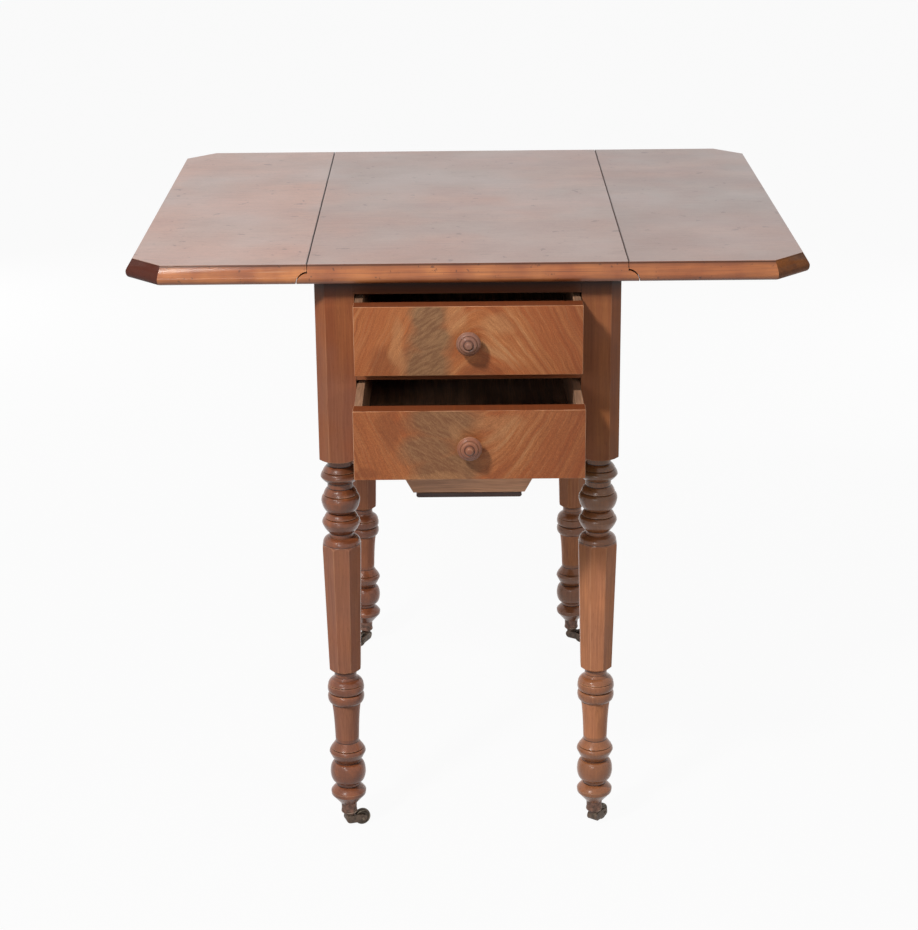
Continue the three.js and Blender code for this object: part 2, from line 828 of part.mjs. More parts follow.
function drawerSide() {
  const start = drawerFrontThickness + seatGap;
  const board = block(sideInner, sideOuter, start, drawerLength, 0, drawerSideHeight);
  const groove = block(
    sideInner - overrun,
    sideInner + drawerGroove + seatGap,
    0,
    drawerLength + overrun,
    bottomLow - seatGap,
    bottomHigh + seatGap,
  );
  return cut(join(board, ...dovetails(0)), groove);
}

// The face of a knob, as [radius share, height share of the knob's projection] from the drawer front outwards
const knobShares = [
  [0.5, 0],
  [0.5, 0.08],
  [0.4, 0.16],
  [0.44, 0.34],
  [0.93, 0.54],
  [1, 0.65],
  [0.92, 0.77],
  [0.74, 0.78],
  [0.56, 0.88],
  [0.38, 0.88],
  [0.26, 0.88],
  [0.24, 0.96],
  [0.12, 1],
];

function knob() {
  const face = knobShares.map(([radiusShare, heightShare]) => [
    radiusShare * knobRadius,
    seatGap + heightShare * (knobProjection - seatGap),
  ]);
  const tenon = [
    [0, -knobTenonLength],
    [knobTenonRadius, -knobTenonLength],
    [knobTenonRadius, seatGap],
  ];
  return turned([...tenon, ...face, [0, knobProjection]], knobSides);
}

function drawerFront() {
  const half = drawerFrontWidth / 2;
  const board = block(-half, half, 0, drawerFrontThickness, 0, drawerFrontHeight);
  const sockets = dovetails(seatGap);
  const groove = block(
    -sideInner - drawerGroove,
    sideInner + drawerGroove,
    drawerFrontThickness - drawerGroove - seatGap,
    drawerFrontThickness + overrun,
    bottomLow - seatGap,
    bottomHigh + seatGap,
  );
  const boreRadius = knobTenonRadius + seatGap;
  const bore = bar("y", 0, drawerFrontHeight / 2, boreRadius, -overrun, knobTenonLength + seatGap, knobSides);
  return cut(board, ...sockets, ...sockets.map((socket) => socket.mirror([1, 0, 0])), groove, bore);
}

function drawer(name) {
  const side = drawerSide();
  const backHalf = sideInner - seatGap;
  const backStart = drawerLength - drawerBackThickness;
  const backLow = bottomHigh + seatGap;
  const back = block(-backHalf, backHalf, backStart, drawerLength, backLow, backLow + drawerBackHeight);
  const half = sideInner + drawerGroove;
  const bottom = block(-half, half, drawerFrontThickness - drawerGroove, drawerLength, bottomLow, bottomHigh);
  const turnedKnob = piece(`${name}_drawer_knob`, knob(), "knob");
  turnedKnob.position.z = drawerFrontHeight / 2;
  turnedKnob.rotation.x = rightAngle;
  const parts = grouped(
    piece(`${name}_drawer_front`, drawerFront(), "veneer"),
    ...mirrored(`${name}_drawer_side`, side, "lining"),
    piece(`${name}_drawer_back`, back, "lining"),
    piece(`${name}_drawer_bottom`, bottom, "lining"),
    turnedKnob,
  );
  parts.position.set(0, frontFace - drawerOpenings[name], runnerTop[name] + seatGap);
  return parts;
}

// Wool box, about the middle of its front face at its top edge
const woolTop = postBottom - woolHeadroom;
const woolFloor = woolTop - woolHeight + woolBottomThickness;
const woolSlope = (woolTopWidth - woolBottomWidth) / 2 / woolHeight;
const woolHalfAt = (z) => woolBottomWidth / 2 + woolSlope * (z - woolTop + woolHeight);

function woolSide() {
  const start = woolEndThickness + seatGap;
  const end = woolLength - woolEndThickness - seatGap;
  const across = woolSideThickness * Math.hypot(1, woolSlope);
  const foot = woolFloor + seatGap;
  return prism(
    "y",
    [
      [woolHalfAt(foot) - across, foot],
      [woolHalfAt(foot), foot],
      [woolHalfAt(flangeUnderside), flangeUnderside],
      [woolFlangeReach, flangeUnderside],
      [woolFlangeReach, woolTop],
      [woolHalfAt(woolTop) - across, woolTop],
    ],
    start,
    end,
  );
}

function woolEnd(from) {
  const foot = woolFloor + seatGap;
  const outline = [
    [-woolHalfAt(foot), foot],
    [woolHalfAt(foot), foot],
    [woolHalfAt(woolTop), woolTop],
    [-woolHalfAt(woolTop), woolTop],
  ];
  return prism("y", outline, from, from + woolEndThickness);
}

function woolBottom() {
  const half = woolBottomWidth / 2;
  const nose = woolBottomThickness / 2;
  const low = woolFloor - woolBottomThickness;
  const board = block(-half + nose, half - nose, 0, woolLength, low, woolFloor);
  const edges = [nose - half, half - nose].map((x) =>
    bar("y", x, low + nose, nose, 0, woolLength, noseSides),
  );
  return join(board, ...edges);
}

function woolBox() {
  const parts = grouped(
    piece("wool_box_front", woolEnd(0), "wool"),
    piece("wool_box_back", woolEnd(woolLength - woolEndThickness), "wool"),
    ...mirrored("wool_box_side", woolSide(), "wool"),
    piece("wool_box_bottom", woolBottom(), "ebonised"),
  );
  parts.position.y = frontFace + woolSetback;
  return parts;
}

// Castor, about the axis of its leg, with the wheel trailing along +X
const axleHeight = wheelRadius * Math.cos(Math.PI / wheelFacets);
const cupBottom = castorHeight - cupHeight;
const discTop = cupBottom - seatGap;
const discBottom = discTop - hornDiscThickness;

// Outside of a cup: [radius share, height share of the cup]
const cupShares = [
  [0.63, 0],
  [0.93, 0.18],
  [1, 0.24],
  [1, 0.42],
  [0.95, 0.52],
  [1, 0.98],
];

function castorCup() {
  const bore = stemRadius + seatGap;
  const inner = cupRadius - cupWall;
  const floor = cupBottom + cupFloor;
  const outside = cupShares.map(([radiusShare, heightShare]) => [
    radiusShare * cupRadius,
    cupBottom + heightShare * cupHeight,
  ]);
  const rim = outside[outside.length - 1][1];
  const inside = [
    [inner, rim],
    [inner, floor],
    [bore, floor],
    [bore, cupBottom],
  ];
  return turned([[bore, cupBottom], ...outside, ...inside], castorSides);
}

function castorHorn() {
  const heel = { x: 0, z: discBottom - hornHeelRadius + overrun };
  const arm = { x: wheelTrail, z: axleHeight };
  // Side view: the straight sides between the round heel under the stem and the round end at the axle
  const span = Math.hypot(arm.x - heel.x, arm.z - heel.z);
  const lean = Math.atan2(arm.z - heel.z, arm.x - heel.x);
  const spread = Math.acos((hornHeelRadius - hornArmRadius) / span);
  const round = (centre, radius, from, to) =>
    Array.from({ length: castorSides / 2 + 1 }, (_, i) => {
      const angle = from + ((to - from) * i) / (castorSides / 2);
      return [centre.x + radius * Math.cos(angle), centre.z + radius * Math.sin(angle)];
    });
  const outline = [
    ...round(arm, hornArmRadius, lean - spread, lean + spread),
    ...round(heel, hornHeelRadius, lean + spread, lean + 2 * Math.PI - spread),
  ];
  const halfWidth = hornWidth / 2;
  const body = prism("y", outline, -halfWidth, halfWidth);
  const slotHalf = wheelWidth / 2 + wheelClearance / 2;
  const slot = bar("y", arm.x, arm.z, wheelRadius + wheelClearance, -slotHalf, slotHalf, wheelFacets);
  const shoulder = discBottom + hornDiscThickness / 2;
  const over = block(-wheelTrail, wheelTrail, -hornWidth, hornWidth, shoulder, castorHeight);
  const trimmed = cut(body, slot, over);
  const headLow = cupBottom + cupFloor + seatGap;
  const stem = turned(
    [
      [0, discBottom],
      [hornDiscRadius, discBottom],
      [hornDiscRadius, discTop],
      [stemRadius, discTop],
      [stemRadius, headLow],
      [stemHeadRadius, headLow],
      [stemHeadRadius, headLow + stemHeadThickness],
      [0, headLow + stemHeadThickness],
    ],
    castorSides,
  );
  const halfAxle = halfWidth + wheelClearance;
  const axle = bar("y", arm.x, arm.z, axleRadius, -halfAxle, halfAxle, castorSides);
  return join(trimmed, stem, axle);
}

function castorWheel() {
  const half = wheelWidth / 2;
  const dished = half - wheelDish;
  const bore = axleRadius + seatGap;
  const tread = wheelRadius - wheelDish;
  const rim = wheelRadius - wheelRimWidth;
  const outline = [
    [bore, -dished],
    [rim, -dished],
    [tread, -half],
    [wheelRadius, -dished],
    [wheelRadius, dished],
    [tread, half],
    [rim, dished],
    [bore, dished],
    [bore, -dished],
  ];
  const halfFacet = Math.PI / wheelFacets;
  return turned(outline, wheelFacets).rotate([0, 0, THREE.MathUtils.radToDeg(halfFacet)]);
}

function castors() {
  return Object.entries(castorTrails).map(([corner, trail]) => {
    const wheel = piece(`castor_wheel_${corner}`, castorWheel(), "brass");
    wheel.rotation.x = rightAngle;
    wheel.position.set(wheelTrail, 0, axleHeight);
    const swivel = grouped(piece(`castor_horn_${corner}`, castorHorn(), "brass"), wheel);
    swivel.rotation.z = trail;
    const castor = grouped(piece(`castor_cup_${corner}`, castorCup(), "brass"), swivel);
    castor.position.set(corner.endsWith("left") ? -legX : legX, corner.startsWith("front") ? -legY : legY, 0);
    return castor;
  });
}

function top() {
  const leaf = rightLeaf();
  const hinges = hingeRows.flatMap((y, i) => {
    const { fixed, moving } = hingePlates(y);
    const end = ["front", "back"][i];
    return [
      ...mirrored(`hinge_top_plate_${end}`, fixed, "iron"),
      ...mirrored(`hinge_leaf_plate_${end}`, moving, "iron"),
    ];
  });
  return [piece("top_centre", centreTop(), "top"), ...mirrored("leaf", leaf, "top"), ...hinges];
}

function brackets() {
  const bracket = flyBracket();
  return [
    ["right", 1],
    ["left", -1],
  ].map(([side, sign]) => {
    const solid = sign > 0 ? bracket : bracket.mirror([1, 0, 0]);
    const mesh = piece(`fly_bracket_${side}`, solid, "mahogany");
    mesh.position.set(sign * bracketX, bracketPivotOffset, 0);
    return mesh;
  });
}

// The origin is on the floor, under the middle of the table as it stands with its drawers pulled out
const drawers = [drawer("top"), drawer("bottom")];
const table = grouped(...top(), ...carcass(), ...brackets(), ...drawers, woolBox(), ...castors());
const foremost = frontFace - drawerOpenings.bottom - knobProjection;
table.position.y = -(foremost + halfTop) / 2;

export default grouped(table);
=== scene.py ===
"""Looks of a drop-leaf work table of about 1845: a french-polished mahogany top on rule joints, two drawers
faced with flame veneer, a tapered wool box, turned and octagonal legs, and brass castors."""

import json
import math

import bmesh
import bpy
from bpy.props import FloatProperty, FloatVectorProperty, PointerProperty
from bpy.types import Operator, Panel, PropertyGroup
from mathutils import Matrix, Vector

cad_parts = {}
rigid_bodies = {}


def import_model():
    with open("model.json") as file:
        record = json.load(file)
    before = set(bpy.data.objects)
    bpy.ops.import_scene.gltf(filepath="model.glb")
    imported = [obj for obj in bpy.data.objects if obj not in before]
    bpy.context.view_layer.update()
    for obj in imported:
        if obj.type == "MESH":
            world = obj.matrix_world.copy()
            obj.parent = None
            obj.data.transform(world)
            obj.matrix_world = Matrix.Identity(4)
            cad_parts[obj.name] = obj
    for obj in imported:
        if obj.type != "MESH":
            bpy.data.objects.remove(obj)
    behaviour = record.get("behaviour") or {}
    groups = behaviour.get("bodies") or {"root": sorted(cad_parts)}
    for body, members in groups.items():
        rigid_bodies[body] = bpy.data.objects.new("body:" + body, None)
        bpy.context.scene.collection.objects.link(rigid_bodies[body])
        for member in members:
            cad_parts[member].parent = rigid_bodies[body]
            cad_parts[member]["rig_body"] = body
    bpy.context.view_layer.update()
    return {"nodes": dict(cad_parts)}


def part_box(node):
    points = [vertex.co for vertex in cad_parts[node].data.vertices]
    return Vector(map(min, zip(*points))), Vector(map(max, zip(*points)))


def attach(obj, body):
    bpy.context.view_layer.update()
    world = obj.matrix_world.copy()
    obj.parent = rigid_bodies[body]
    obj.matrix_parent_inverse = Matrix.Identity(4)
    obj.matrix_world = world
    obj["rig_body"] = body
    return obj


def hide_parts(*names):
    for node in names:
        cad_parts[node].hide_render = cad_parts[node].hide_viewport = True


bl_info = {
    "name": "Drop-leaf work table",
    "version": (1, 0, 0),
    "blender": (4, 5, 0),
    "location": "View3D > Sidebar > Work table",
    "description": "Dresses the frame of a drop-leaf work table in polished mahogany and brass",
    "category": "Object",
}

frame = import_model()

MM = 0.001
SIDES = {"left": -1, "right": 1}
ENDS = {"front": -1, "back": 1}
CORNERS = [(end, side) for end in ENDS for side in SIDES]
DRAWERS = ("top", "bottom")


def centre(node):
    """Middle of a CAD node's box"""
    low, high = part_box(node)
    return (low + high) / 2


# Heights and places that the frame gives
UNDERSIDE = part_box("front_top_rail")[1].z
TABLE_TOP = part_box("top_centre")[1].z
POST_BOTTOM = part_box("front_bottom_rail")[0].z
TABLE_MIDDLE = centre("top_centre").y
TABLE_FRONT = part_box("top_centre")[0].y


def linear(code):
    """An sRGB hex code as the linear colour that Blender works with"""
    shares = [int(code[i : i + 2], 16) / 255 for i in (1, 3, 5)]
    return [s / 12.92 if s <= 0.04045 else ((s + 0.055) / 1.055) ** 2.4 for s in shares] + [1]


def length(name, description, metres):
    return FloatProperty(name=name, description=description, default=metres, min=0, unit="LENGTH")


def colour(name, description, code):
    return FloatVectorProperty(
        name=name, description=description, default=linear(code), size=4, min=0, max=1, subtype="COLOR"
    )


class TableSizes(PropertyGroup):
    """Sizes that shape the finished pieces inside the frame"""

    upper_turning: length("Upper turning", "From the post to the octagon", 99 * MM)
    lower_turning: length("Lower turning", "From the octagon to the castor", 178.5 * MM)
    castor_height: length("Castor height", "From the floor to the foot of the leg", 34 * MM)
    ring_radius: length("Upper rings", "Radius of the widest rings of the upper turning", 23 * MM)
    foot_radius: length("Lower rings", "Radius of the widest rings of the lower turning", 22.3 * MM)
    octagon_top: length("Octagon, top", "From the axis to a flat", 22.9 * MM)
    octagon_bottom: length("Octagon, foot", "From the axis to a flat", 18.5 * MM)
    post_chamfer: length("Post chamfer", "Cut off the outer arris of a post", 12 * MM)
    edge_bulge: length("Thumb moulding", "How far the edge of the top stands out", 8 * MM)
    joint_fillet: length("Rule joint fillet", "Square lip over the rule joint", 9.3 * MM)
    joint_rise: length("Rule joint crescent", "How much higher the cove stands over the ovolo", 1.1 * MM)
    joint_clearance: length("Rule joint clearance", "Between the cove and the ovolo", 0.8 * MM)
    cant: length("Cut corner", "Cut off each outer corner of a leaf", 41 * MM)
    arris: length("Eased arris", "How far the edges of the boards are rounded", 0.6 * MM)
    screw_radius: length("Screw head", "Radius of a hinge screw's head", 3 * MM)


class TableColours(PropertyGroup):
    """Colours of the timbers and metals"""

    # Also painted shade: on the moulded edge and on the right leaf of the top
    mahogany_dark: colour("Mahogany, dark", "Grooves and pores of the grain", "#4a2517")
    mahogany_red: colour("Mahogany, red", "Body of the redder boards", "#83472b")
    mahogany_gold: colour("Mahogany, golden", "Body of the paler boards", "#8a5330")
    mahogany_pale: colour("Mahogany, pale", "Ribbons that catch the light", "#b37745")
    mahogany_grey: colour("Mahogany, greyed", "Where the polish has dulled", "#7f5a4c")
    # Paler low on the legs, below the posts
    faded_red: colour("Legs, red", "Faded polish low on the redder legs", "#8a5540")
    faded_gold: colour("Legs, golden", "Faded polish low on the paler legs", "#c4835c")
    # The bead colours are dark partly because of their deeper polish and partly as painted shade
    bead: colour("Beads, red", "Deeper polish of the turned beads on the redder legs", "#4f2311")
    bead_olive: colour("Beads, olive", "The same on the paler legs", "#60461f")
    # Painted reflection: amber patches on the beads, standing in for warm light that they mirror
    bead_glow: colour("Beads, amber", "Where the polish of the beads is thin", "#a25a2e")
    bead_low: colour("Beads, low", "The same low on the redder legs", "#5d2c18")
    bead_low_gold: colour("Beads, low and golden", "The same low on the paler legs", "#8a5733")
    worn: colour("Worn polish", "Arrises where the polish has gone", "#c99b78")
    # Also used as painted shade: under the top and in the hollows of the legs
    grime: colour("Old polish", "What has gathered in the grooves", "#2a1510")
    top_body: colour("Top, body", "Polished surface of the top", "#956a5e")
    top_haze: colour("Top, haze", "Where the polish has bloomed", "#8e7e77")
    # Also painted light: warmer at the front of the top and on the left leaf
    top_warm: colour("Top, warm", "Where the wood shows through", "#ab7862")
    edge_bright: colour("Moulded edge, bright", "Where hands keep it polished", "#b3703d")
    edge_deep: colour("Moulded edge, deep", "Where the old polish is thicker", "#8a4a24")
    cut_corner: colour("Cut corners, red", "Edges across the grain, which took more stain", "#4a231a")
    cut_corner_pale: colour("Cut corners, golden", "The same on the paler leaf", "#774825")
    flame_gold: colour("Flame veneer, gold", "Bright part of the crotch figure", "#c27d4c")
    flame_red: colour("Flame veneer, red", "Sides of the crotch figure", "#a95a31")
    flame_pale: colour("Flame veneer, pale", "Fibres that catch the light", "#d09d6c")
    flame_deep: colour("Flame veneer, deep", "Fibres that turn away from it", "#7d4529")
    front_solid: colour("Drawer front, solid", "Edges of the board under the veneer", "#7c3f1f")
    flame_olive: colour("Flame veneer, olive", "Shaded feathers of the figure", "#947b5a")
    lining: colour("Drawer lining", "Unpolished inner boards", "#8a6a54")
    lining_dark: colour("Drawer lining, dark", "Grain of the inner boards", "#4f3526")
    # Painted light: paler than the boards are, standing in for the light on the front of the box; the linings
    # take it for paler streaks
    wool_box: colour("Wool box", "Thin boards of the box", "#dfab87")
    ebony: colour("Ebonised edge", "Blackened bottom of the box", "#2a1a15")
    brass: colour("Brass", "Tarnished brass of the castors", "#5f5347")
    brass_cup: colour("Brass, lacquered", "Old lacquer on the cups", "#7c5a4c")
    brass_worn: colour("Brass, worn", "Treads and rims that rub bare", "#b7aa93")
    brass_dark: colour("Brass, dark", "Tarnish in the corners", "#352e28")
    iron: colour("Iron", "Hinge plates and their screws", "#57504a")
    rust: colour("Rust", "Spots on the iron", "#5e3a26")
    floor: colour("Floor", "Studio floor", "#a0a0a0")


def sizes():
    return bpy.context.scene.table_sizes


def colours():
    return bpy.context.scene.table_colours


# Meshes

WELD = 0.002 * MM
FLAT = math.radians(0.4)
SHARP = math.radians(30)
CREASE = math.radians(38)
ARRIS_STEPS = 2
ARRIS_FULLNESS = 0.5
RUN_STEPS = 5
# A convex radius of this size counts as fully worn, a hollow one as fully dark
RELIEF_SPAN = 2 * MM


def placed(name, data):
    """A new object in the scene"""
    holder = bpy.data.objects.new(name, data)
    bpy.context.scene.collection.objects.link(holder)
    return holder


def mesh_of(name, work, finishes=()):
    """A new mesh from the work, which is freed"""
    mesh = bpy.data.meshes.new(name)
    for finish in finishes:
        mesh.materials.append(finish)
    work.to_mesh(mesh)
    work.free()
    return mesh


def mark_relief(work):
    """Writes each vertex's mean curvature as a share of RELIEF_SPAN: above 0 on arrises, below in grooves"""
    layer = work.verts.layers.float.new("relief")
    for vert in work.verts:
        area = sum(face.calc_area() / len(face.verts) for face in vert.link_faces)
        turn = sum(edge.calc_face_angle_signed(0) * edge.calc_length() for edge in vert.link_edges)
        vert[layer] = max(-1, min(1, RELIEF_SPAN * turn / (4 * area))) if area > 0 else 0


def finished(name, work, body, finishes, nodes, tone=0.5, hard=False, finish_of=None):
    """A piece from its mesh: shaded, given its finishes, and standing for its CAD nodes on their body"""
    if finish_of:
        for face in work.faces:
            face.material_index = finish_of(face)
    bmesh.ops.remove_doubles(work, verts=work.verts, dist=WELD)
    bmesh.ops.recalc_face_normals(work, faces=work.faces)
    mark_relief(work)
    mesh = mesh_of(name, work, finishes)
    mesh.shade_smooth()
    mesh.set_sharp_from_angle(angle=CREASE)
    shade = mesh.attributes.new("tone", "FLOAT", "POINT")
    shade.data.foreach_set("value", [tone] * len(mesh.vertices))
    piece = placed(name, mesh)
    if hard:
        piece.modifiers.new("flat faces", "WEIGHTED_NORMAL").keep_sharp = True
        piece.data = applied(piece)
        for i, finish in enumerate(finishes):
            piece.data.materials[i] = finish
    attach(piece, body)
    if nodes:
        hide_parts(*nodes)


def body_of(node):
    return frame["nodes"][node]["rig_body"]


def dressed(node, work, finishes, tone=0.5, hard=True, finish_of=None):
    """A finished piece in place of a CAD node"""
    finished(f"{node}_finished", work, body_of(node), finishes, [node], tone, hard, finish_of)


def applied(piece):
    """The piece's mesh with its modifiers applied, which are then taken off it"""
    evaluated = piece.evaluated_get(bpy.context.evaluated_depsgraph_get())
    mesh = bpy.data.meshes.new_from_object(evaluated)
    piece.modifiers.clear()
    return mesh


def loft(rings, closed=False):
    """A skin over rings of points, capped at both ends unless the last ring joins the first"""
    work = bmesh.new()
    rows = [[work.verts.new(point) for point in ring] for ring in rings]
    count = len(rows[0])
    pairs = list(zip(rows, rows[1:])) + ([(rows[-1], rows[0])] if closed else [])
    for upper, lower in pairs:
        for i in range(count):
            after = (i + 1) % count
            work.faces.new((upper[i], upper[after], lower[after], lower[i]))
    if not closed:
        for row in (rows[0], rows[-1]):
            if (row[0].co - row[1].co).length > WELD:
                work.faces.new(row)
    bmesh.ops.remove_doubles(work, verts=work.verts, dist=WELD)
    bmesh.ops.dissolve_degenerate(work, edges=work.edges, dist=WELD / 2)
    bmesh.ops.recalc_face_normals(work, faces=work.faces)
    return work


def revolve(outline, steps, closed=False):
    """A turned shape about Z from (radius, height) points"""
    turns = [math.tau * i / steps for i in range(steps)]
    rings = [[Vector((r * math.cos(t), r * math.sin(t), z)) for t in turns] for r, z in outline]
    return loft(rings, closed)


def extrude(outline, place):
    """A prism from flat points: place(u, v, end) gives a point on its first end, 0, or its last, 1"""
    return loft([[Vector(place(u, v, end)) for u, v in outline] for end in (0, 1)])


def cleaned(work):
    """The work with its doubled points merged and its flat faces joined"""
    bmesh.ops.remove_doubles(work, verts=work.verts, dist=WELD)
    bmesh.ops.dissolve_limit(work, angle_limit=FLAT, verts=work.verts, edges=work.edges)
    return work


def planed(node, arris):
    """A CAD board as one mesh, its arrises eased"""
    work = bmesh.new()
    work.from_mesh(frame["nodes"][node].data)
    return eased(cleaned(work), arris)


def eased(work, arris, least=0):
    """The mesh with its sharp convex edges rounded, where they are longer than the least length"""
    edges = [
        edge
        for edge in work.edges
        if edge.is_manifold and edge.calc_face_angle_signed(0) > SHARP and edge.calc_length() > least
    ]
    shape = {"segments": ARRIS_STEPS, "profile": ARRIS_FULLNESS, "affect": "EDGES", "clamp_overlap": True}
    bmesh.ops.bevel(work, geom=edges, offset=arris, **shape)
    return work


def carved(work, cutters):
    """The shape with the cutters taken out of it"""
    holders = [placed("shape", mesh_of("shape", each)) for each in (work, *cutters)]
    for cutter in holders[1:]:
        modifier = holders[0].modifiers.new("cut", "BOOLEAN")
        modifier.operation = "DIFFERENCE"
        modifier.solver = "EXACT"
        modifier.object = cutter
    result = bmesh.new()
    result.from_mesh(applied(holders[0]))
    for holder in holders:
        bpy.data.objects.remove(holder)
    return cleaned(result)


def moved(work, matrix):
    work.transform(matrix)
    return work


def about_y(place):
    """Where a shape about Z stands about Y at a place"""
    return Matrix.Translation(place) @ Matrix.Rotation(math.pi / 2, 4, "X")


def joined(*works):
    """One mesh that holds several closed shells"""
    whole = bmesh.new()
    for work in works:
        mesh = mesh_of("shell", work)
        whole.from_mesh(mesh)
        bpy.data.meshes.remove(mesh)
    return whole


def rectangle(left, low, right, high):
    return [(left, low), (right, low), (right, high), (left, high)]


def between(t, a, b, c, d):
    """A value between b and c on a smooth curve from a to d"""
    bend = a - 5 * b / 2 + 2 * c - d / 2
    return b + t * (c - a) / 2 + t**2 * bend + t**3 * (3 * (b - c) + d - a) / 2


def smooth_run(points):
    """Points on a curve that passes through all of the given ones"""
    padded = [points[0], *points, points[-1]]
    run = []
    for stretch in zip(padded, padded[1:], padded[2:], padded[3:]):
        for i in range(RUN_STEPS):
            run.append(tuple(between(i / RUN_STEPS, *values) for values in zip(*stretch)))
    return [*run, tuple(points[-1])]


def bend(start, end, corner, fullness, pitch):
    """Points after the start, on a stretch that bends towards the corner by its fullness"""
    control = ((start + end) / 2).lerp(corner, abs(fullness))
    steps = max(1, math.ceil((end - start).length / pitch))
    shares = [i / steps for i in range(1, steps + 1)]
    return [start * (1 - t) ** 2 + control * 2 * t * (1 - t) + end * t**2 for t in shares]


# Legs: rows of [height share from the top of the turning down, radius share of its widest ring, fullness].
# The fullness bends the stretch that ends there, from 1 for a round bead to -1 for a hollow cove.

UPPER_SHARES = [
    (-0.02, 0.635, 0), (0.09, 0.635, 0), (0.157, 0.87, 0.25), (0.165, 0.83, 0), (0.232, 1, 0.65),
    (0.308, 0.66, 0.25), (0.374, 0.657, 0), (0.455, 0.87, 0.4), (0.463, 0.83, 0), (0.535, 1, 0.75),
    (0.687, 0.643, 0.6), (0.748, 0.86, 0.35), (0.756, 0.82, 0), (0.818, 0.99, 0.7), (0.951, 0.62, 0.3),
    (1, 0.61, 0),
]
LOWER_SHARES = [
    (-0.02, 0.605, 0), (0.03, 0.605, 0), (0.052, 0.73, -0.4), (0.086, 0.96, 0.4), (0.091, 0.92, 0),
    (0.12, 1, 0.8), (0.151, 0.86, 0.9), (0.155, 0.86, 0), (0.185, 1, 0.9), (0.227, 0.83, 0.8),
    (0.233, 0.8, 0), (0.522, 0.645, -0.5), (0.57, 0.9, -0.1), (0.575, 0.87, 0), (0.602, 1, 0.7),
    (0.677, 0.665, 0.15), (0.681, 0.7, 0), (0.758, 0.978, 0.9), (0.838, 0.61, 0.85), (0.86, 0.6, 0),
    (0.903, 0.969, 0.25), (0.933, 0.92, 0.9), (0.989, 0.538, 0), (1, 0.467, 0),
]
COLLAR_SHARES = [(0, 0.61, 0), (0.37, 0.982, 0.9), (0.59, 1.079, 0.3)]
FOOT_CONE_SHARE = 0.27
SHOULDER_SHARES = [(-0.03, 0.35), (-0.01, 0.5), (0.04, 0.6), (0.1, 0.69), (0.16, 0.75)]
TURNING_PITCH = 0.9 * MM
ARRIS_TURN = 1  # degrees on both sides of an arris, where a ring has further points
RING_STEP = 5  # degrees
CRISPNESS = 160  # of the arrises between the flats: the higher, the sharper
CONE_STEPS = 6
CONE_FLARE = 1.03
CONE_RISE = 1 * MM
TENON_LENGTH = 10.5 * MM
SHOULDER_GAP = 0.7 * MM


def turned_outline(shares, top, height, radius):
    """(radius, height) points down a turning"""
    points = []
    for height_share, radius_share, fullness in shares:
        end = Vector((radius_share * radius, top - height_share * height))
        start = points[-1] if points else end
        thin, thick = (start, end) if start.x < end.x else (end, start)
        corner = Vector((thick.x, thin.y)) if fullness > 0 else Vector((thin.x, thick.y))
        points += bend(start, end, corner, fullness, TURNING_PITCH)
    return points


def ring_radius(angle, flats, round_radius):
    """Distance from the axis to a section with flats, each a (facing, distance), inside a circle"""
    turns = [(math.cos(angle - facing), distance) for facing, distance in flats]
    reaches = [distance / turn for turn, distance in turns if turn > 0]
    if round_radius:
        reaches.append(round_radius)
    nearest = min(reaches)
    return nearest * sum((nearest / reach) ** CRISPNESS for reach in reaches) ** (-1 / CRISPNESS)


def ring_angles(features):
    """Angles of a ring's points: even ones, and three close ones about each feature"""
    turns = (-ARRIS_TURN, 0, ARRIS_TURN)
    near = sorted({round((feature + turn) % 360, 3) for feature in features for turn in turns})
    apart = [[abs((angle - n + 180) % 360 - 180) for n in near] for angle in range(0, 360, RING_STEP)]
    clear = [i * RING_STEP for i, gaps in enumerate(apart) if min(gaps) > ARRIS_TURN]
    return [math.radians(angle) for angle in sorted(near + clear)]


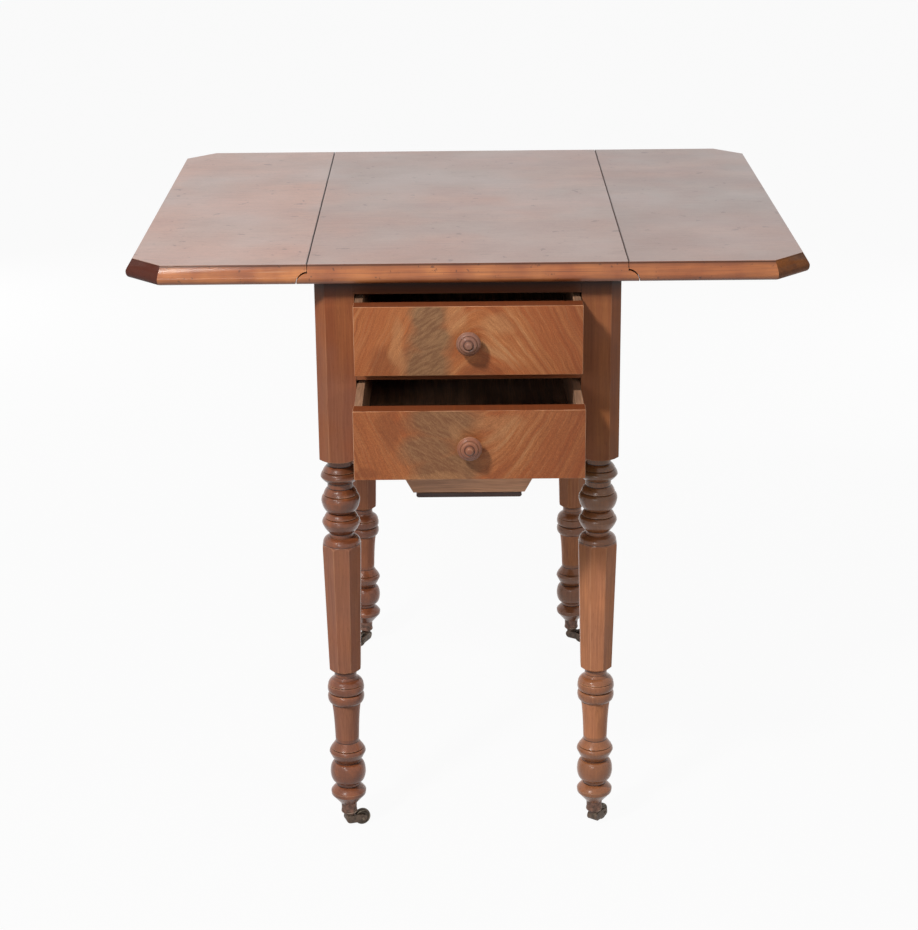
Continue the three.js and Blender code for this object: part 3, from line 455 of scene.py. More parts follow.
def leg(end, side):
    size = sizes()
    low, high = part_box(f"leg_{end}_{side}")
    axis = (low + high) / 2
    half_post = (high.x - low.x) / 2
    post_size = 2 * half_post
    outer = math.atan2(ENDS[end], SIDES[side])
    chamfer_distance = (post_size - size.post_chamfer) / math.sqrt(2)
    post_flats = [(math.radians(90 * i), half_post) for i in range(4)] + [(outer, chamfer_distance)]
    chamfer_reach = math.hypot(half_post, half_post - size.post_chamfer)
    chamfer_turn = math.degrees(math.acos(chamfer_distance / chamfer_reach))
    features = [22.5 + 45 * i for i in range(8)] + [45 + 90 * i for i in range(4)]
    angles = ring_angles(features + [math.degrees(outer) + turn for turn in (-chamfer_turn, chamfer_turn)])
    octagon_top = POST_BOTTOM - size.upper_turning
    octagon_bottom = size.castor_height + size.lower_turning

    sections = []  # height, flats, round radius
    shoulder = smooth_run(SHOULDER_SHARES)
    sections.append((high.z, post_flats, 0))
    sections.append((POST_BOTTOM + shoulder[-1][0] * post_size + SHOULDER_GAP, post_flats, 0))
    for height_share, radius_share in reversed(shoulder):
        sections.append((POST_BOTTOM + height_share * post_size, post_flats, radius_share * post_size))
    upper = turned_outline(UPPER_SHARES, POST_BOTTOM, size.upper_turning, size.ring_radius)
    sections += [(point.y, [], point.x) for point in upper if point.y < sections[-1][0]]

    collar = turned_outline(COLLAR_SHARES, octagon_top, size.octagon_top, size.octagon_top)
    corner = 1 / math.cos(math.pi / 8)
    cone_height = octagon_bottom + FOOT_CONE_SHARE * size.octagon_bottom
    neck = LOWER_SHARES[0][1] * size.foot_radius
    cone = [(size.octagon_bottom * corner * CONE_FLARE, cone_height + CONE_RISE)]
    for i in range(CONE_STEPS + 1):
        share = i / CONE_STEPS
        radius = size.octagon_bottom * corner * (1 - share) + neck * share
        cone.append((radius, cone_height + (octagon_bottom - cone_height) * share))
    for radius, height in [*collar, *cone]:
        share = (octagon_top - height) / (octagon_top - octagon_bottom)
        flat = size.octagon_top * (1 - share) + size.octagon_bottom * share
        sections.append((height, [(math.radians(45 * i), flat) for i in range(8)], radius))

    lower = turned_outline(LOWER_SHARES, octagon_bottom, size.lower_turning, size.foot_radius)
    sections += [(point.y, [], point.x) for point in lower if point.y < sections[-1][0]]
    cup_low, cup_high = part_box(f"castor_cup_{end}_{side}")
    tenon = (cup_high.x - cup_low.x) / 2 - CUP_WALL - SEAT_GAP
    sections.append((size.castor_height, [], tenon))
    sections.append((size.castor_height - TENON_LENGTH, [], tenon))

    rings = []
    for height, flats, round_radius in sections:
        radii = [ring_radius(angle, flats, round_radius) for angle in angles]
        around = [(r * math.cos(angle), r * math.sin(angle)) for angle, r in zip(angles, radii)]
        rings.append([Vector((axis.x + x, axis.y + y, height)) for x, y in around])
    return loft(rings)


# Top and leaves: the thumb moulding, in two runs of (inset, depth) shares of its bulge and the thickness

EDGE_RUN_SHARES = [
    [(1, 0), (0.975, 0.012), (0.95, 0.045)],
    [
        *((0.95, 0.045), (0.72, 0.17), (0.45, 0.33), (0.2, 0.48), (0.04, 0.6)),
        *((0.01, 0.7), (0.08, 0.83), (0.3, 0.95), (0.66, 1)),
    ],
]
BOARD_FACE = 0.95  # how upright a normal is on the faces of a board
END_GRAIN = 0.3  # how far a normal turns sideways on the edges across the grain
SKIN = 0.01 * MM
JOINT_STEPS = 24
JOINT_ARRIS = 0.7 * MM
LONG_EDGE = 60 * MM
PAST = 3 * MM  # how far a cut runs past the face that it opens
SEAT_GAP = 0.3 * MM
JOINT_OVERHANG = 5.5 * MM
RULE_JOINT_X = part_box("leg_front_right")[1].x + JOINT_OVERHANG


def inset(corners, distances):
    """The corners of an anticlockwise outline after each side has moved in by its own distance"""
    lines = []
    for corner, after, distance in zip(corners, corners[1:] + corners[:1], distances):
        along = (after - corner).normalized()
        inward = Vector((-along.y, along.x))
        lines.append((inward, corner.dot(inward) + distance))
    points = []
    for (before, first), (after, last) in zip(lines[-1:] + lines[:-1], lines):
        spread = before.x * after.y - before.y * after.x
        x, y = first * after.y - last * before.y, last * before.x - first * after.x
        points.append(Vector((x / spread, y / spread)))
    return points


def moulded_board(corners, moulded, thickness):
    """A board with the thumb moulding on some of its sides"""
    outline = [Vector(corner) for corner in corners]
    bulge = sizes().edge_bulge
    shares = [share for run in EDGE_RUN_SHARES for share in smooth_run(run)]
    rings = []
    for inset_share, depth_share in shares:
        distances = [inset_share * bulge if shaped else 0 for shaped in moulded]
        height = TABLE_TOP - depth_share * thickness
        rings.append([Vector((point.x, point.y, height)) for point in inset(outline, distances)])
    return loft(rings)


def rule_arc(radius, rise):
    """The quarter round of the ovolo, or that of a leaf's cove, which stands higher by the rise"""
    turns = [math.pi / 2 * (1 - i / JOINT_STEPS) for i in range(JOINT_STEPS + 1)]
    return [(RULE_JOINT_X + radius * math.cos(t), UNDERSIDE + (radius + rise) * math.sin(t)) for t in turns]


def along_y(outline, low, high):
    return extrude(outline, lambda x, z, end: (x, high if end else low, z))


def hinge_sinking(end, side):
    """Sinking for the two plates of a hinge, as deep as they are"""
    boxes = [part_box(f"hinge_{plate}_plate_{end}_{side}") for plate in ("top", "leaf")]
    gap = Vector((SEAT_GAP, SEAT_GAP, SEAT_GAP))
    low = Vector(map(min, boxes[0][0], boxes[1][0])) - gap
    high = Vector(map(max, boxes[0][1], boxes[1][1])) + gap
    return along_y(rectangle(low.x, UNDERSIDE - PAST, high.x, high.z), low.y, high.y)


def mirrored(work, side):
    """The shape as made for the right, or its mirror image for the left"""
    if SIDES[side] < 0:
        work.transform(Matrix.Scale(-1, 4, Vector((1, 0, 0))))
        bmesh.ops.reverse_faces(work, faces=work.faces)
    return work


def centre_top():
    size = sizes()
    low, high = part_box("top_centre")
    thickness = high.z - low.z
    outline = rectangle(low.x, low.y, high.x, high.y)
    board = moulded_board(outline, (True, False, True, False), thickness)
    outside, over = high.x + PAST, TABLE_TOP + PAST
    ovolo = rule_arc(thickness - size.joint_fillet, 0)
    ovolo += [(outside, UNDERSIDE), (outside, over), (RULE_JOINT_X, over)]
    cutters = [mirrored(along_y(ovolo, low.y - PAST, high.y + PAST), side) for side in SIDES]
    cutters += [hinge_sinking(end, side) for end, side in CORNERS]
    return eased(carved(board, cutters), JOINT_ARRIS, LONG_EDGE)


def leaf(side):
    size = sizes()
    low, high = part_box(f"leaf_{side}")
    inner, outer = sorted((abs(low.x), abs(high.x)))
    thickness = high.z - low.z
    cant = size.cant
    outline = [(inner, low.y), (outer - cant, low.y), (outer, low.y + cant)]
    outline += [(outer, high.y - cant), (outer - cant, high.y), (inner, high.y)]
    board = moulded_board(outline, (True, True, True, True, True, False), thickness)
    radius = thickness - size.joint_fillet + size.joint_clearance
    cove = rule_arc(radius, size.joint_rise)
    cove += [(RULE_JOINT_X + radius, UNDERSIDE - PAST), (RULE_JOINT_X, UNDERSIDE - PAST)]
    board = mirrored(carved(board, [along_y(cove, low.y - PAST, high.y + PAST)]), side)
    return eased(carved(board, [hinge_sinking(end, side) for end in ENDS]), JOINT_ARRIS, LONG_EDGE)


# Knobs, as turned rows of (share of the projection, share of the radius, fullness). Where the row runs
# inwards, the fullness is negative for a round bead.

KNOB_SHARES = [
    (0, 0.5, 0), (0.06, 0.5, 0), (0.14, 0.4, 0.5), (0.26, 0.44, 0), (0.42, 0.92, 0.6), (0.5, 1, 0.8),
    (0.58, 0.94, -0.8), (0.68, 0.75, -0.5), (0.67, 0.71, 0), (0.74, 0.67, -0.8), (0.81, 0.48, -0.7),
    (0.79, 0.41, 0), (0.81, 0.35, 0), (0.93, 0.29, -0.7), (1, 0.12, -0.8), (1, 0, 0),
]
KNOB_STEPS = 64
KNOB_PROJECTION = 24 * MM
KNOB_PITCH = 0.35 * MM


def knob(drawer):
    """A turned knob, its axis along Y and its face towards -Y"""
    low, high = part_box(f"{drawer}_drawer_knob")
    radius = (high.x - low.x) / 2
    points = []
    for share, radius_share, fullness in KNOB_SHARES:
        end = Vector((share * KNOB_PROJECTION, radius_share * radius))
        start = points[-1] if points else end
        corner = Vector((start.x, end.y)) if fullness > 0 else Vector((end.x, start.y))
        points += bend(start, end, corner, fullness, KNOB_PITCH if fullness else math.inf)
    turned = revolve([(0, 0), *((point.y, point.x) for point in points)], KNOB_STEPS)
    face_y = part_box(f"{drawer}_drawer_front")[0].y
    return moved(turned, about_y(((low.x + high.x) / 2, face_y, (low.z + high.z) / 2)))


# Castors

CASTOR_STEPS = 48
CUP_SHARES = [(0, 0.6), (0.05, 0.72), (0.18, 0.94), (0.23, 1), (0.27, 1.02), (0.31, 1), (0.42, 0.985)]
CUP_SHARES += [(0.47, 0.955), (0.52, 0.95), (0.75, 0.965), (0.95, 0.99), (1, 0.985)]
CUP_HEIGHT = 16.4 * MM
CUP_WALL = 1.4 * MM
CUP_FLOOR = 3 * MM
STEM_RADIUS = 2.5 * MM
DISC_RADIUS = 6 * MM
DISC_THICKNESS = 2.4 * MM
HORN_WIDTH = 13 * MM
HORN_ARM_RADIUS = 4.6 * MM
HORN_HEEL_RADIUS = 5.6 * MM
WHEEL_WIDTH = 7 * MM
WHEEL_CLEARANCE = 0.8 * MM
AXLE_RADIUS = 2 * MM
AXLE_END_SHARE = 0.8
CASTOR_ARRIS = 0.45 * MM
# Half section of a wheel, as (radius share, half width share) from its bore outwards
WHEEL_SHARES = [(0.2, 0.8), (0.34, 0.8), (0.38, 0.66), (0.66, 0.66), (0.72, 0.8), (0.8, 0.98), (0.86, 1)]
WHEEL_SHARES += [(0.94, 0.86), (0.98, 0.62), (1, 0.3)]


def castor_cup(corner):
    size = sizes()
    low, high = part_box(f"castor_cup_{corner}")
    radius = (high.x - low.x) / 2
    bottom = size.castor_height - CUP_HEIGHT
    outside = [(share * radius, bottom + height * CUP_HEIGHT) for height, share in smooth_run(CUP_SHARES)]
    inner = radius - CUP_WALL
    bore = STEM_RADIUS + SEAT_GAP
    floor_height = bottom + CUP_FLOOR
    inside = [(inner, outside[-1][1]), (inner, floor_height), (bore, floor_height), (bore, bottom)]
    place = Matrix.Translation(((low.x + high.x) / 2, (low.y + high.y) / 2, 0))
    return moved(revolve([*outside, *inside], CASTOR_STEPS, closed=True), place)


def castor_place(corner):
    """How far the wheel trails, its height, and the turn and place of the castor"""
    axis = centre(f"castor_cup_{corner}")
    wheel = centre(f"castor_wheel_{corner}")
    trail = Vector((wheel.x - axis.x, wheel.y - axis.y))
    turn = Matrix.Rotation(math.atan2(trail.y, trail.x), 4, "Z")
    return trail.length, wheel.z, Matrix.Translation((axis.x, axis.y, 0)) @ turn


def castor_horn(corner):
    trail, axle_height, place = castor_place(corner)
    size = sizes()
    disc_top = size.castor_height - CUP_HEIGHT - SEAT_GAP
    disc_bottom = disc_top - DISC_THICKNESS
    heel = Vector((0, disc_bottom - HORN_HEEL_RADIUS + DISC_THICKNESS))
    arm = Vector((trail, axle_height))
    gap = arm - heel
    lean = math.atan2(gap.y, gap.x)
    spread = math.acos((HORN_HEEL_RADIUS - HORN_ARM_RADIUS) / gap.length)
    outline = []
    steps = CASTOR_STEPS // 4
    for middle, radius, start, stop in (
        (arm, HORN_ARM_RADIUS, lean - spread, lean + spread),
        (heel, HORN_HEEL_RADIUS, lean + spread, lean + math.tau - spread),
    ):
        for i in range(steps + 1):
            turn = start + (stop - start) * i / steps
            outline.append((middle.x + radius * math.cos(turn), middle.y + radius * math.sin(turn)))
    half = HORN_WIDTH / 2
    body = along_y(outline, -half, half)
    slot_half = (WHEEL_WIDTH + WHEEL_CLEARANCE) / 2
    slot_radius = axle_height + WHEEL_CLEARANCE
    seat = about_y((arm.x, 0, arm.y))
    slot = moved(revolve(rectangle(0, -slot_half, slot_radius, slot_half), CASTOR_STEPS), seat)
    over = rectangle(-trail, disc_bottom + DISC_THICKNESS / 2, trail, disc_top * 2)
    cheeks = eased(carved(body, [slot, along_y(over, -HORN_WIDTH, HORN_WIDTH)]), CASTOR_ARRIS)
    disc = [(0, disc_bottom), (DISC_RADIUS, disc_bottom), (DISC_RADIUS, disc_top), (STEM_RADIUS, disc_top)]
    stem_top = size.castor_height - CUP_HEIGHT + CUP_FLOOR + SEAT_GAP
    stem = revolve([*disc, (STEM_RADIUS, stem_top), (0, stem_top)], CASTOR_STEPS)
    axle_half = half + WHEEL_CLEARANCE
    ends = [(0, -axle_half), (AXLE_RADIUS * AXLE_END_SHARE, -axle_half)]
    ends.append((AXLE_RADIUS, -axle_half + CASTOR_ARRIS))
    axle = moved(revolve(ends + [(r, -z) for r, z in reversed(ends)], CASTOR_STEPS // 2), seat)
    return moved(joined(cheeks, stem, axle), place)


def castor_wheel(corner):
    trail, axle_height, place = castor_place(corner)
    half = WHEEL_WIDTH / 2
    side = [(share * axle_height, width_share * half) for share, width_share in WHEEL_SHARES]
    wheel = revolve(side + [(r, -z) for r, z in reversed(side)], CASTOR_STEPS, closed=True)
    return moved(wheel, place @ about_y((trail, 0, axle_height)))


# Hinge screws, which a node tree sets out in staggered rows

PLATE_ARRIS_SHARE = 1 / 3
SCREW_COUNT = 3
SCREW_PITCH = 15 * MM
SCREW_STAGGER = 9 * MM
SCREW_DEPTH = 0.8 * MM
SCREW_STANDS_OUT = 0.15 * MM
SCREW_STEPS = 20
SLOT_WIDTH_SHARE = 0.28
SLOT_LENGTH_SHARE = 3  # of the radius, so it runs past the head
SLOT_DROP_SHARE = 0.6  # of the depth
SLOT_SEED = 7


def screw_tree():
    """Rows of slotted screw heads, one row about each point that the tree is given"""
    tree = bpy.data.node_groups.new("screw rows", "GeometryNodeTree")
    sockets = {"Geometry": "NodeSocketGeometry", "Count": "NodeSocketInt", "Material": "NodeSocketMaterial"}
    sockets |= {name: "NodeSocketFloat" for name in ("Pitch", "Stagger", "Radius", "Depth")}
    found = {}
    for name, kind in sockets.items():
        found[name] = tree.interface.new_socket(name, in_out="INPUT", socket_type=kind).identifier
    tree.interface.new_socket("Geometry", in_out="OUTPUT", socket_type="NodeSocketGeometry")
    given = add(tree, "given")
    reach = add(tree, "times", add(tree, "minus", given["Count"], 1), given["Pitch"])
    half_stagger = add(tree, "times", given["Stagger"], -0.5)
    start = add(tree, "point", half_stagger, add(tree, "times", reach, -0.5), 0)
    row = add(tree, "row", given["Count"], start, add(tree, "point", 0, given["Pitch"], 0))
    odd = add(tree, "remainder", add(tree, "index"), 2)
    aside = add(tree, "point", add(tree, "times", odd, given["Stagger"]), 0, 0)
    staggered = add(tree, "shifted", row, aside)
    head = add(tree, "disc", SCREW_STEPS, given["Radius"], given["Depth"])
    across = add(tree, "times", given["Radius"], SLOT_LENGTH_SHARE)
    wide = add(tree, "times", given["Radius"], 2 * SLOT_WIDTH_SHARE)
    slot = add(tree, "block", add(tree, "point", across, wide, given["Depth"]))
    below = add(tree, "point", 0, 0, add(tree, "times", given["Depth"], -SLOT_DROP_SHARE))
    slotted = add(tree, "cut", head, add(tree, "lowered", slot, below))
    turn = add(tree, "random", (0, 0, 0), (0, 0, math.pi), SLOT_SEED)
    rows = add(tree, "made real", add(tree, "copies", given["Geometry"], staggered))
    screws = add(tree, "made real", add(tree, "copies", rows, slotted, turn))
    add(tree, "result", add(tree, "dressed", screws, given["Material"]))
    return tree, found


def screws(body, plates, tree, sockets):
    """The screws of one body's hinge plates, as one plain mesh"""
    points = []
    for plate in plates:
        middle = centre(plate)
        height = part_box(plate)[0].z + SCREW_DEPTH / 2 - SCREW_STANDS_OUT
        points.append((middle.x, middle.y, height))
    mesh = bpy.data.meshes.new("screw rows")
    mesh.from_pydata(points, [], [])
    holder = placed("screw rows", mesh)
    nodes = holder.modifiers.new("screws", "NODES")
    nodes.node_group = tree
    values = {
        "Count": SCREW_COUNT,
        "Pitch": SCREW_PITCH,
        "Stagger": SCREW_STAGGER,
        "Radius": sizes().screw_radius,
        "Depth": SCREW_DEPTH,
        "Material": rusted_iron(),
    }
    for name, value in values.items():
        nodes[sockets[name]] = value
    work = bmesh.new()
    work.from_mesh(applied(holder))
    bpy.data.objects.remove(holder)
    finished(f"hinge_screws_{body}", work, body, [rusted_iron()], [])


# Node trees. A word stands for a kind of node: its type, its settings, the inputs that its values go to in
# their order, and the output that comes back, or None where all of them do.

SHADER_INPUTS = ("Base Color", "Roughness", "Normal", "Specular IOR Level")
SHADER_INPUTS += ("Coat Weight", "Coat Roughness", "Metallic")
MATHS = {
    "times": "MULTIPLY",
    "times plus": "MULTIPLY_ADD",
    "minus": "SUBTRACT",
    "power": "POWER",
    "larger": "MAXIMUM",
    "remainder": "MODULO",
}
NODES = {
    "mix": ("ShaderNodeMix", {"data_type": "RGBA", "clamp_factor": True}, (0, 6, 7), 2),
    "range": ("ShaderNodeMapRange", {}, (0, 1, 2, 3, 4), 0),
    "share": ("ShaderNodeMapRange", {}, (0, 3, 4), 0),
    "point": ("ShaderNodeCombineXYZ", {}, (0, 1, 2), 0),
    "parts": ("ShaderNodeSeparateXYZ", {}, (0,), None),
    "point minus": ("ShaderNodeVectorMath", {"operation": "SUBTRACT"}, (0, 1), 0),
    "point times plus": ("ShaderNodeVectorMath", {"operation": "MULTIPLY_ADD"}, (0, 1, 2), 0),
    "distance": ("ShaderNodeVectorMath", {"operation": "LENGTH"}, (0,), "Value"),
    "scaled": ("ShaderNodeMapping", {}, ("Vector", "Scale"), 0),
    "turned": ("ShaderNodeMapping", {}, ("Vector", "Rotation"), 0),
    "around": ("ShaderNodeMapping", {"vector_type": "TEXTURE"}, ("Vector", "Location", "Scale"), 0),
    "noise": ("ShaderNodeTexNoise", {}, ("Vector", "Scale", "Detail"), "Fac"),
    "drift": ("ShaderNodeTexNoise", {}, ("Vector", "Scale", "Detail"), "Color"),
    "place": ("ShaderNodeTexCoord", {}, (), "Object"),
    "facing": ("ShaderNodeNewGeometry", {}, (), "Normal"),
    "tone": ("ShaderNodeAttribute", {"attribute_name": "tone"}, (), "Fac"),
    "relief": ("ShaderNodeAttribute", {"attribute_name": "relief"}, (), "Fac"),
    "light path": ("ShaderNodeLightPath", {}, (), None),
    "bump": ("ShaderNodeBump", {}, ("Strength", "Distance", "Height"), 0),
    "principled": ("ShaderNodeBsdfPrincipled", {}, SHADER_INPUTS, 0),
    "matt": ("ShaderNodeBsdfDiffuse", {}, ("Color",), 0),
    "glow": ("ShaderNodeEmission", {}, ("Color", "Strength"), 0),
    "either surface": ("ShaderNodeMixShader", {}, (0, 1, 2), 0),
    "surface": ("ShaderNodeOutputMaterial", {}, ("Surface",), None),
    "surroundings": ("ShaderNodeBackground", {}, ("Color", "Strength"), 0),
    "world": ("ShaderNodeOutputWorld", {}, ("Surface",), None),
    "given": ("NodeGroupInput", {}, (), None),
    "result": ("NodeGroupOutput", {}, (0,), None),
    "row": ("GeometryNodeMeshLine", {}, ("Count", "Start Location", "Offset"), 0),
    "index": ("GeometryNodeInputIndex", {}, (), 0),
    "shifted": ("GeometryNodeSetPosition", {}, ("Geometry", "Offset"), 0),
    "disc": ("GeometryNodeMeshCylinder", {}, ("Vertices", "Radius", "Depth"), 0),
    "block": ("GeometryNodeMeshCube", {}, ("Size",), 0),
    "lowered": ("GeometryNodeTransform", {}, ("Geometry", "Translation"), 0),
    "cut": ("GeometryNodeMeshBoolean", {"operation": "DIFFERENCE"}, (0, 1), 0),
    "random": ("FunctionNodeRandomValue", {"data_type": "FLOAT_VECTOR"}, ("Min", "Max", "Seed"), 0),
    "copies": ("GeometryNodeInstanceOnPoints", {}, ("Points", "Instance", "Rotation"), 0),
    "made real": ("GeometryNodeRealizeInstances", {}, (0,), 0),
    "dressed": ("GeometryNodeSetMaterial", {}, ("Geometry", "Material"), 0),
}
for word, operation in MATHS.items():
    NODES[word] = ("ShaderNodeMath", {"operation": operation}, (0, 1, 2), 0)


def add(tree, word, *values):
    """Adds the node that a word of NODES stands for, with its settings and its values or links"""
    kind, usual, sockets, output = NODES[word]
    node = tree.nodes.new(kind)
    for name, setting in usual.items():
        setattr(node, name, setting)
    for socket, value in zip(sockets, values):
        if isinstance(value, bpy.types.NodeSocket):
            tree.links.new(value, node.inputs[socket])
        else:
            node.inputs[socket].default_value = value
    return node.outputs if output is None else node.outputs[output]


BLOTCH_END = 1.2  # share of the reach at which a blotch has ended


def wander(tree, place, period, shift):
    """The place, led astray by a slow noise"""
    drift = add(tree, "drift", place, 1 / period, 2)
    centred = add(tree, "point minus", drift, (0.5, 0.5, 0.5))
    return add(tree, "point times plus", centred, (shift, shift, shift), place)


def streaks(tree, place, axis, width, run, detail=3, low=0.36, high=0.64):
    """Noise drawn out along an axis, as streaks of about that width and run"""
    scale = [1 / width] * 3
    scale["XYZ".index(axis)] = 1 / run
    stretched = add(tree, "scaled", place, scale)
    return add(tree, "range", add(tree, "noise", stretched, 1, detail), low, high)


def patches(tree, place, size, low=0.4, high=0.6, detail=3):
    """Soft patches of about that size"""
    return add(tree, "range", add(tree, "noise", place, 1 / size, detail), low, high)


def blotch(tree, place, middle, reach, edge=0.5):
    """1 around a point, falling to 0 at about that reach along each axis"""
    away = add(tree, "distance", add(tree, "around", place, middle, reach))
    return add(tree, "range", away, BLOTCH_END, edge)


def stripe(tree, value, middle, reach):
    """1 where the value is that of the middle, falling to 0 within the reach on either side"""
    rising = add(tree, "range", value, middle - reach, middle)
    return add(tree, "times", rising, add(tree, "range", value, middle + reach, middle))


def coats(tree, body, *layers):
    """Colours laid over one another. A layer is a source, the layer's share where the source is 0 and where
    it is 1, and a colour. A colour is a link or one of the scene's by its name"""
    tints = [body, *(tint for *_, tint in layers)]
    body, *found = [getattr(colours(), tint) if isinstance(tint, str) else tint for tint in tints]
    for (source, low, high, _), tint in zip(layers, found):
        body = add(tree, "mix", add(tree, "share", source, low, high), body, tint)
    return body


def emptied(owner):
    """The node tree of a material or a world, with nothing in it"""
    owner.use_nodes = True
    owner.node_tree.nodes.clear()
    return owner.node_tree


def weathered(tree, body, place, wear, dirt):
    """Paler along the arrises, where hands have worn the polish, and darker in the grooves"""
    relief = add(tree, "relief")
    rubbed = add(tree, "times", add(tree, "range", relief, 0.2, 0.7), patches(tree, place, 30 * MM, 0.3, 0.6))
    gathered = add(tree, "range", relief, -0.1, -0.5)
    return coats(tree, body, (rubbed, 0, wear, "worn"), (gathered, 0, dirt, "grime"))


def surfaced(tree, place, body, bumps, depth, rough, patch=40 * MM, shine=0.5, coat=0, coat_rough=0, metal=0):
    """The surface itself: its colour, its bumps, its roughness in soft patches, and its polish"""
    roughness = add(tree, "share", patches(tree, place, patch, 0.35, 0.65), *rough)
    bumped = add(tree, "bump", 1, depth, bumps)
    add(tree, "surface", add(tree, "principled", body, roughness, bumped, shine, coat, coat_rough, metal))


def known(make):
    """Makes each material once, in an empty tree, and finds it again by its name"""

    def found(*options):
        name = "_".join([make.__name__, *map(str, options)])
        material = bpy.data.materials.get(name)
        if not material:
            material = bpy.data.materials.new(name)
            make(emptied(material), *options)
        return material

    return found


# How far down the legs grow paler below the posts
LOW_LEG_REACH = 130 * MM
# How far the painted shade under the top reaches down
UNDER_TOP_SHADE_REACH = 30 * MM
SHOULDER_REACH = 11 * MM
ZONE_EDGE = 2 * MM
SEAM_REACH = 1.6 * MM
LINE_HEIGHT = TABLE_TOP - 1.3 * MM
LINE_REACH = 1.4 * MM
# How far the painted shade reaches in from the top and the bottom of the moulded edge
EDGE_SHADE = 6 * MM
# Where the lower shaft begins and ends, as shares of the lower turning
SHAFT_SHARES = (0.235, 0.49)


def turned_zone(tree, height):
    """1 on the beads of the legs, 0 on their shafts and octagons, the posts and all that is higher"""
    size = sizes()
    octagon_bottom = size.castor_height + size.lower_turning
    shaft_top, shaft_bottom = (octagon_bottom - share * size.lower_turning for share in SHAFT_SHARES)
    lower = add(tree, "range", height, shaft_bottom, shaft_bottom - ZONE_EDGE)
    for bottom, top in (
        (shaft_top, octagon_bottom + ZONE_EDGE),
        (POST_BOTTOM - size.upper_turning - SHOULDER_REACH, POST_BOTTOM),
    ):
        above = add(tree, "range", height, bottom, bottom + ZONE_EDGE)
        within = add(tree, "times", above, add(tree, "range", height, top, top - ZONE_EDGE))
        lower = add(tree, "larger", lower, within)
    return lower


@known
def polished_mahogany(tree, axis):
    """Solid Cuban mahogany, french polished: red-brown, with soft ribbons and short dark pores. The turned
    beads kept more of their polish, so they are glossier than the flats; their darker colour is partly that
    polish and partly painted shade, with amber patches of painted reflection. Painted shade also darkens
    the hollows of the beads and the wood just under the top"""
    place, tone, relief = add(tree, "place"), add(tree, "tone"), add(tree, "relief")
    strayed = wander(tree, place, 90 * MM, 9 * MM)
    ribbons = streaks(tree, strayed, axis, 11 * MM, 230 * MM, 3, 0.42, 0.7)
    lines = streaks(tree, strayed, axis, 2.6 * MM, 130 * MM, 4, 0.38, 0.62)
    fine = streaks(tree, place, axis, 1.3 * MM, 60 * MM)
    # Real pores are 0.2 mm wide, and are drawn four times as coarse to show
    pores = streaks(tree, place, axis, 0.8 * MM, 9 * MM, 2, 0.6, 0.72)
    dulled = patches(tree, place, 110 * MM, 0.42, 0.62)
    # Painted reflection: amber patches on the beads, stronger on the redder legs
    amber = add(tree, "times", patches(tree, place, 16 * MM, 0.45, 0.7), add(tree, "share", tone, 0.5, 0.2))
    height = add(tree, "parts", place)["Z"]
    below = add(tree, "range", height, POST_BOTTOM, POST_BOTTOM - LOW_LEG_REACH)
    # Painted shade: the wood just under the top is darkened nearly to black
    under_top_shade = add(tree, "range", height, UNDERSIDE - UNDER_TOP_SHADE_REACH, UNDERSIDE - UNDER_TOP_SHADE_REACH / 5)
    bead_low = coats(tree, "bead_low", (tone, 0, 1, "bead_low_gold"))
    layers = [(tone, 0, 1, "bead_olive"), (below, 0, 1, bead_low), (amber, 0, 1, "bead_glow")]
    bead = coats(tree, "bead", *layers)
    zone = turned_zone(tree, height)
    turned = add(tree, "times", add(tree, "range", relief, 0, 0.15, 0.75, 1), zone)
    body = coats(
        tree,
        "mahogany_red",
        (tone, 0, 1, "mahogany_gold"),
        (below, 0, 1, coats(tree, "faded_red", (tone, 0, 1, "faded_gold"))),
        (ribbons, 0, add(tree, "share", tone, 0.2, 0.4), "mahogany_pale"),
        (dulled, 0, add(tree, "share", tone, 0.45, 0.15), "mahogany_grey"),
        (turned, 0, 0.88, bead),
        (lines, 0.16, 0, "mahogany_dark"),
        (fine, 0.16, 0, "mahogany_dark"),
        (pores, 0, 0.28, "mahogany_dark"),
        # Old polish and painted shade: the hollows of the turned beads are darkened
        (add(tree, "times", add(tree, "range", relief, 0, -0.35), zone), 0, 0.8, "grime"),
    )
    body = coats(tree, weathered(tree, body, place, 0.3, 0.8), (under_top_shade, 0, 0.97, "grime"))
    coat = add(tree, "share", turned, 0.12, 0.9)
    surfaced(tree, place, body, pores, -0.03 * MM, (0.36, 0.48), shine=0.15, coat=coat, coat_rough=0.24)


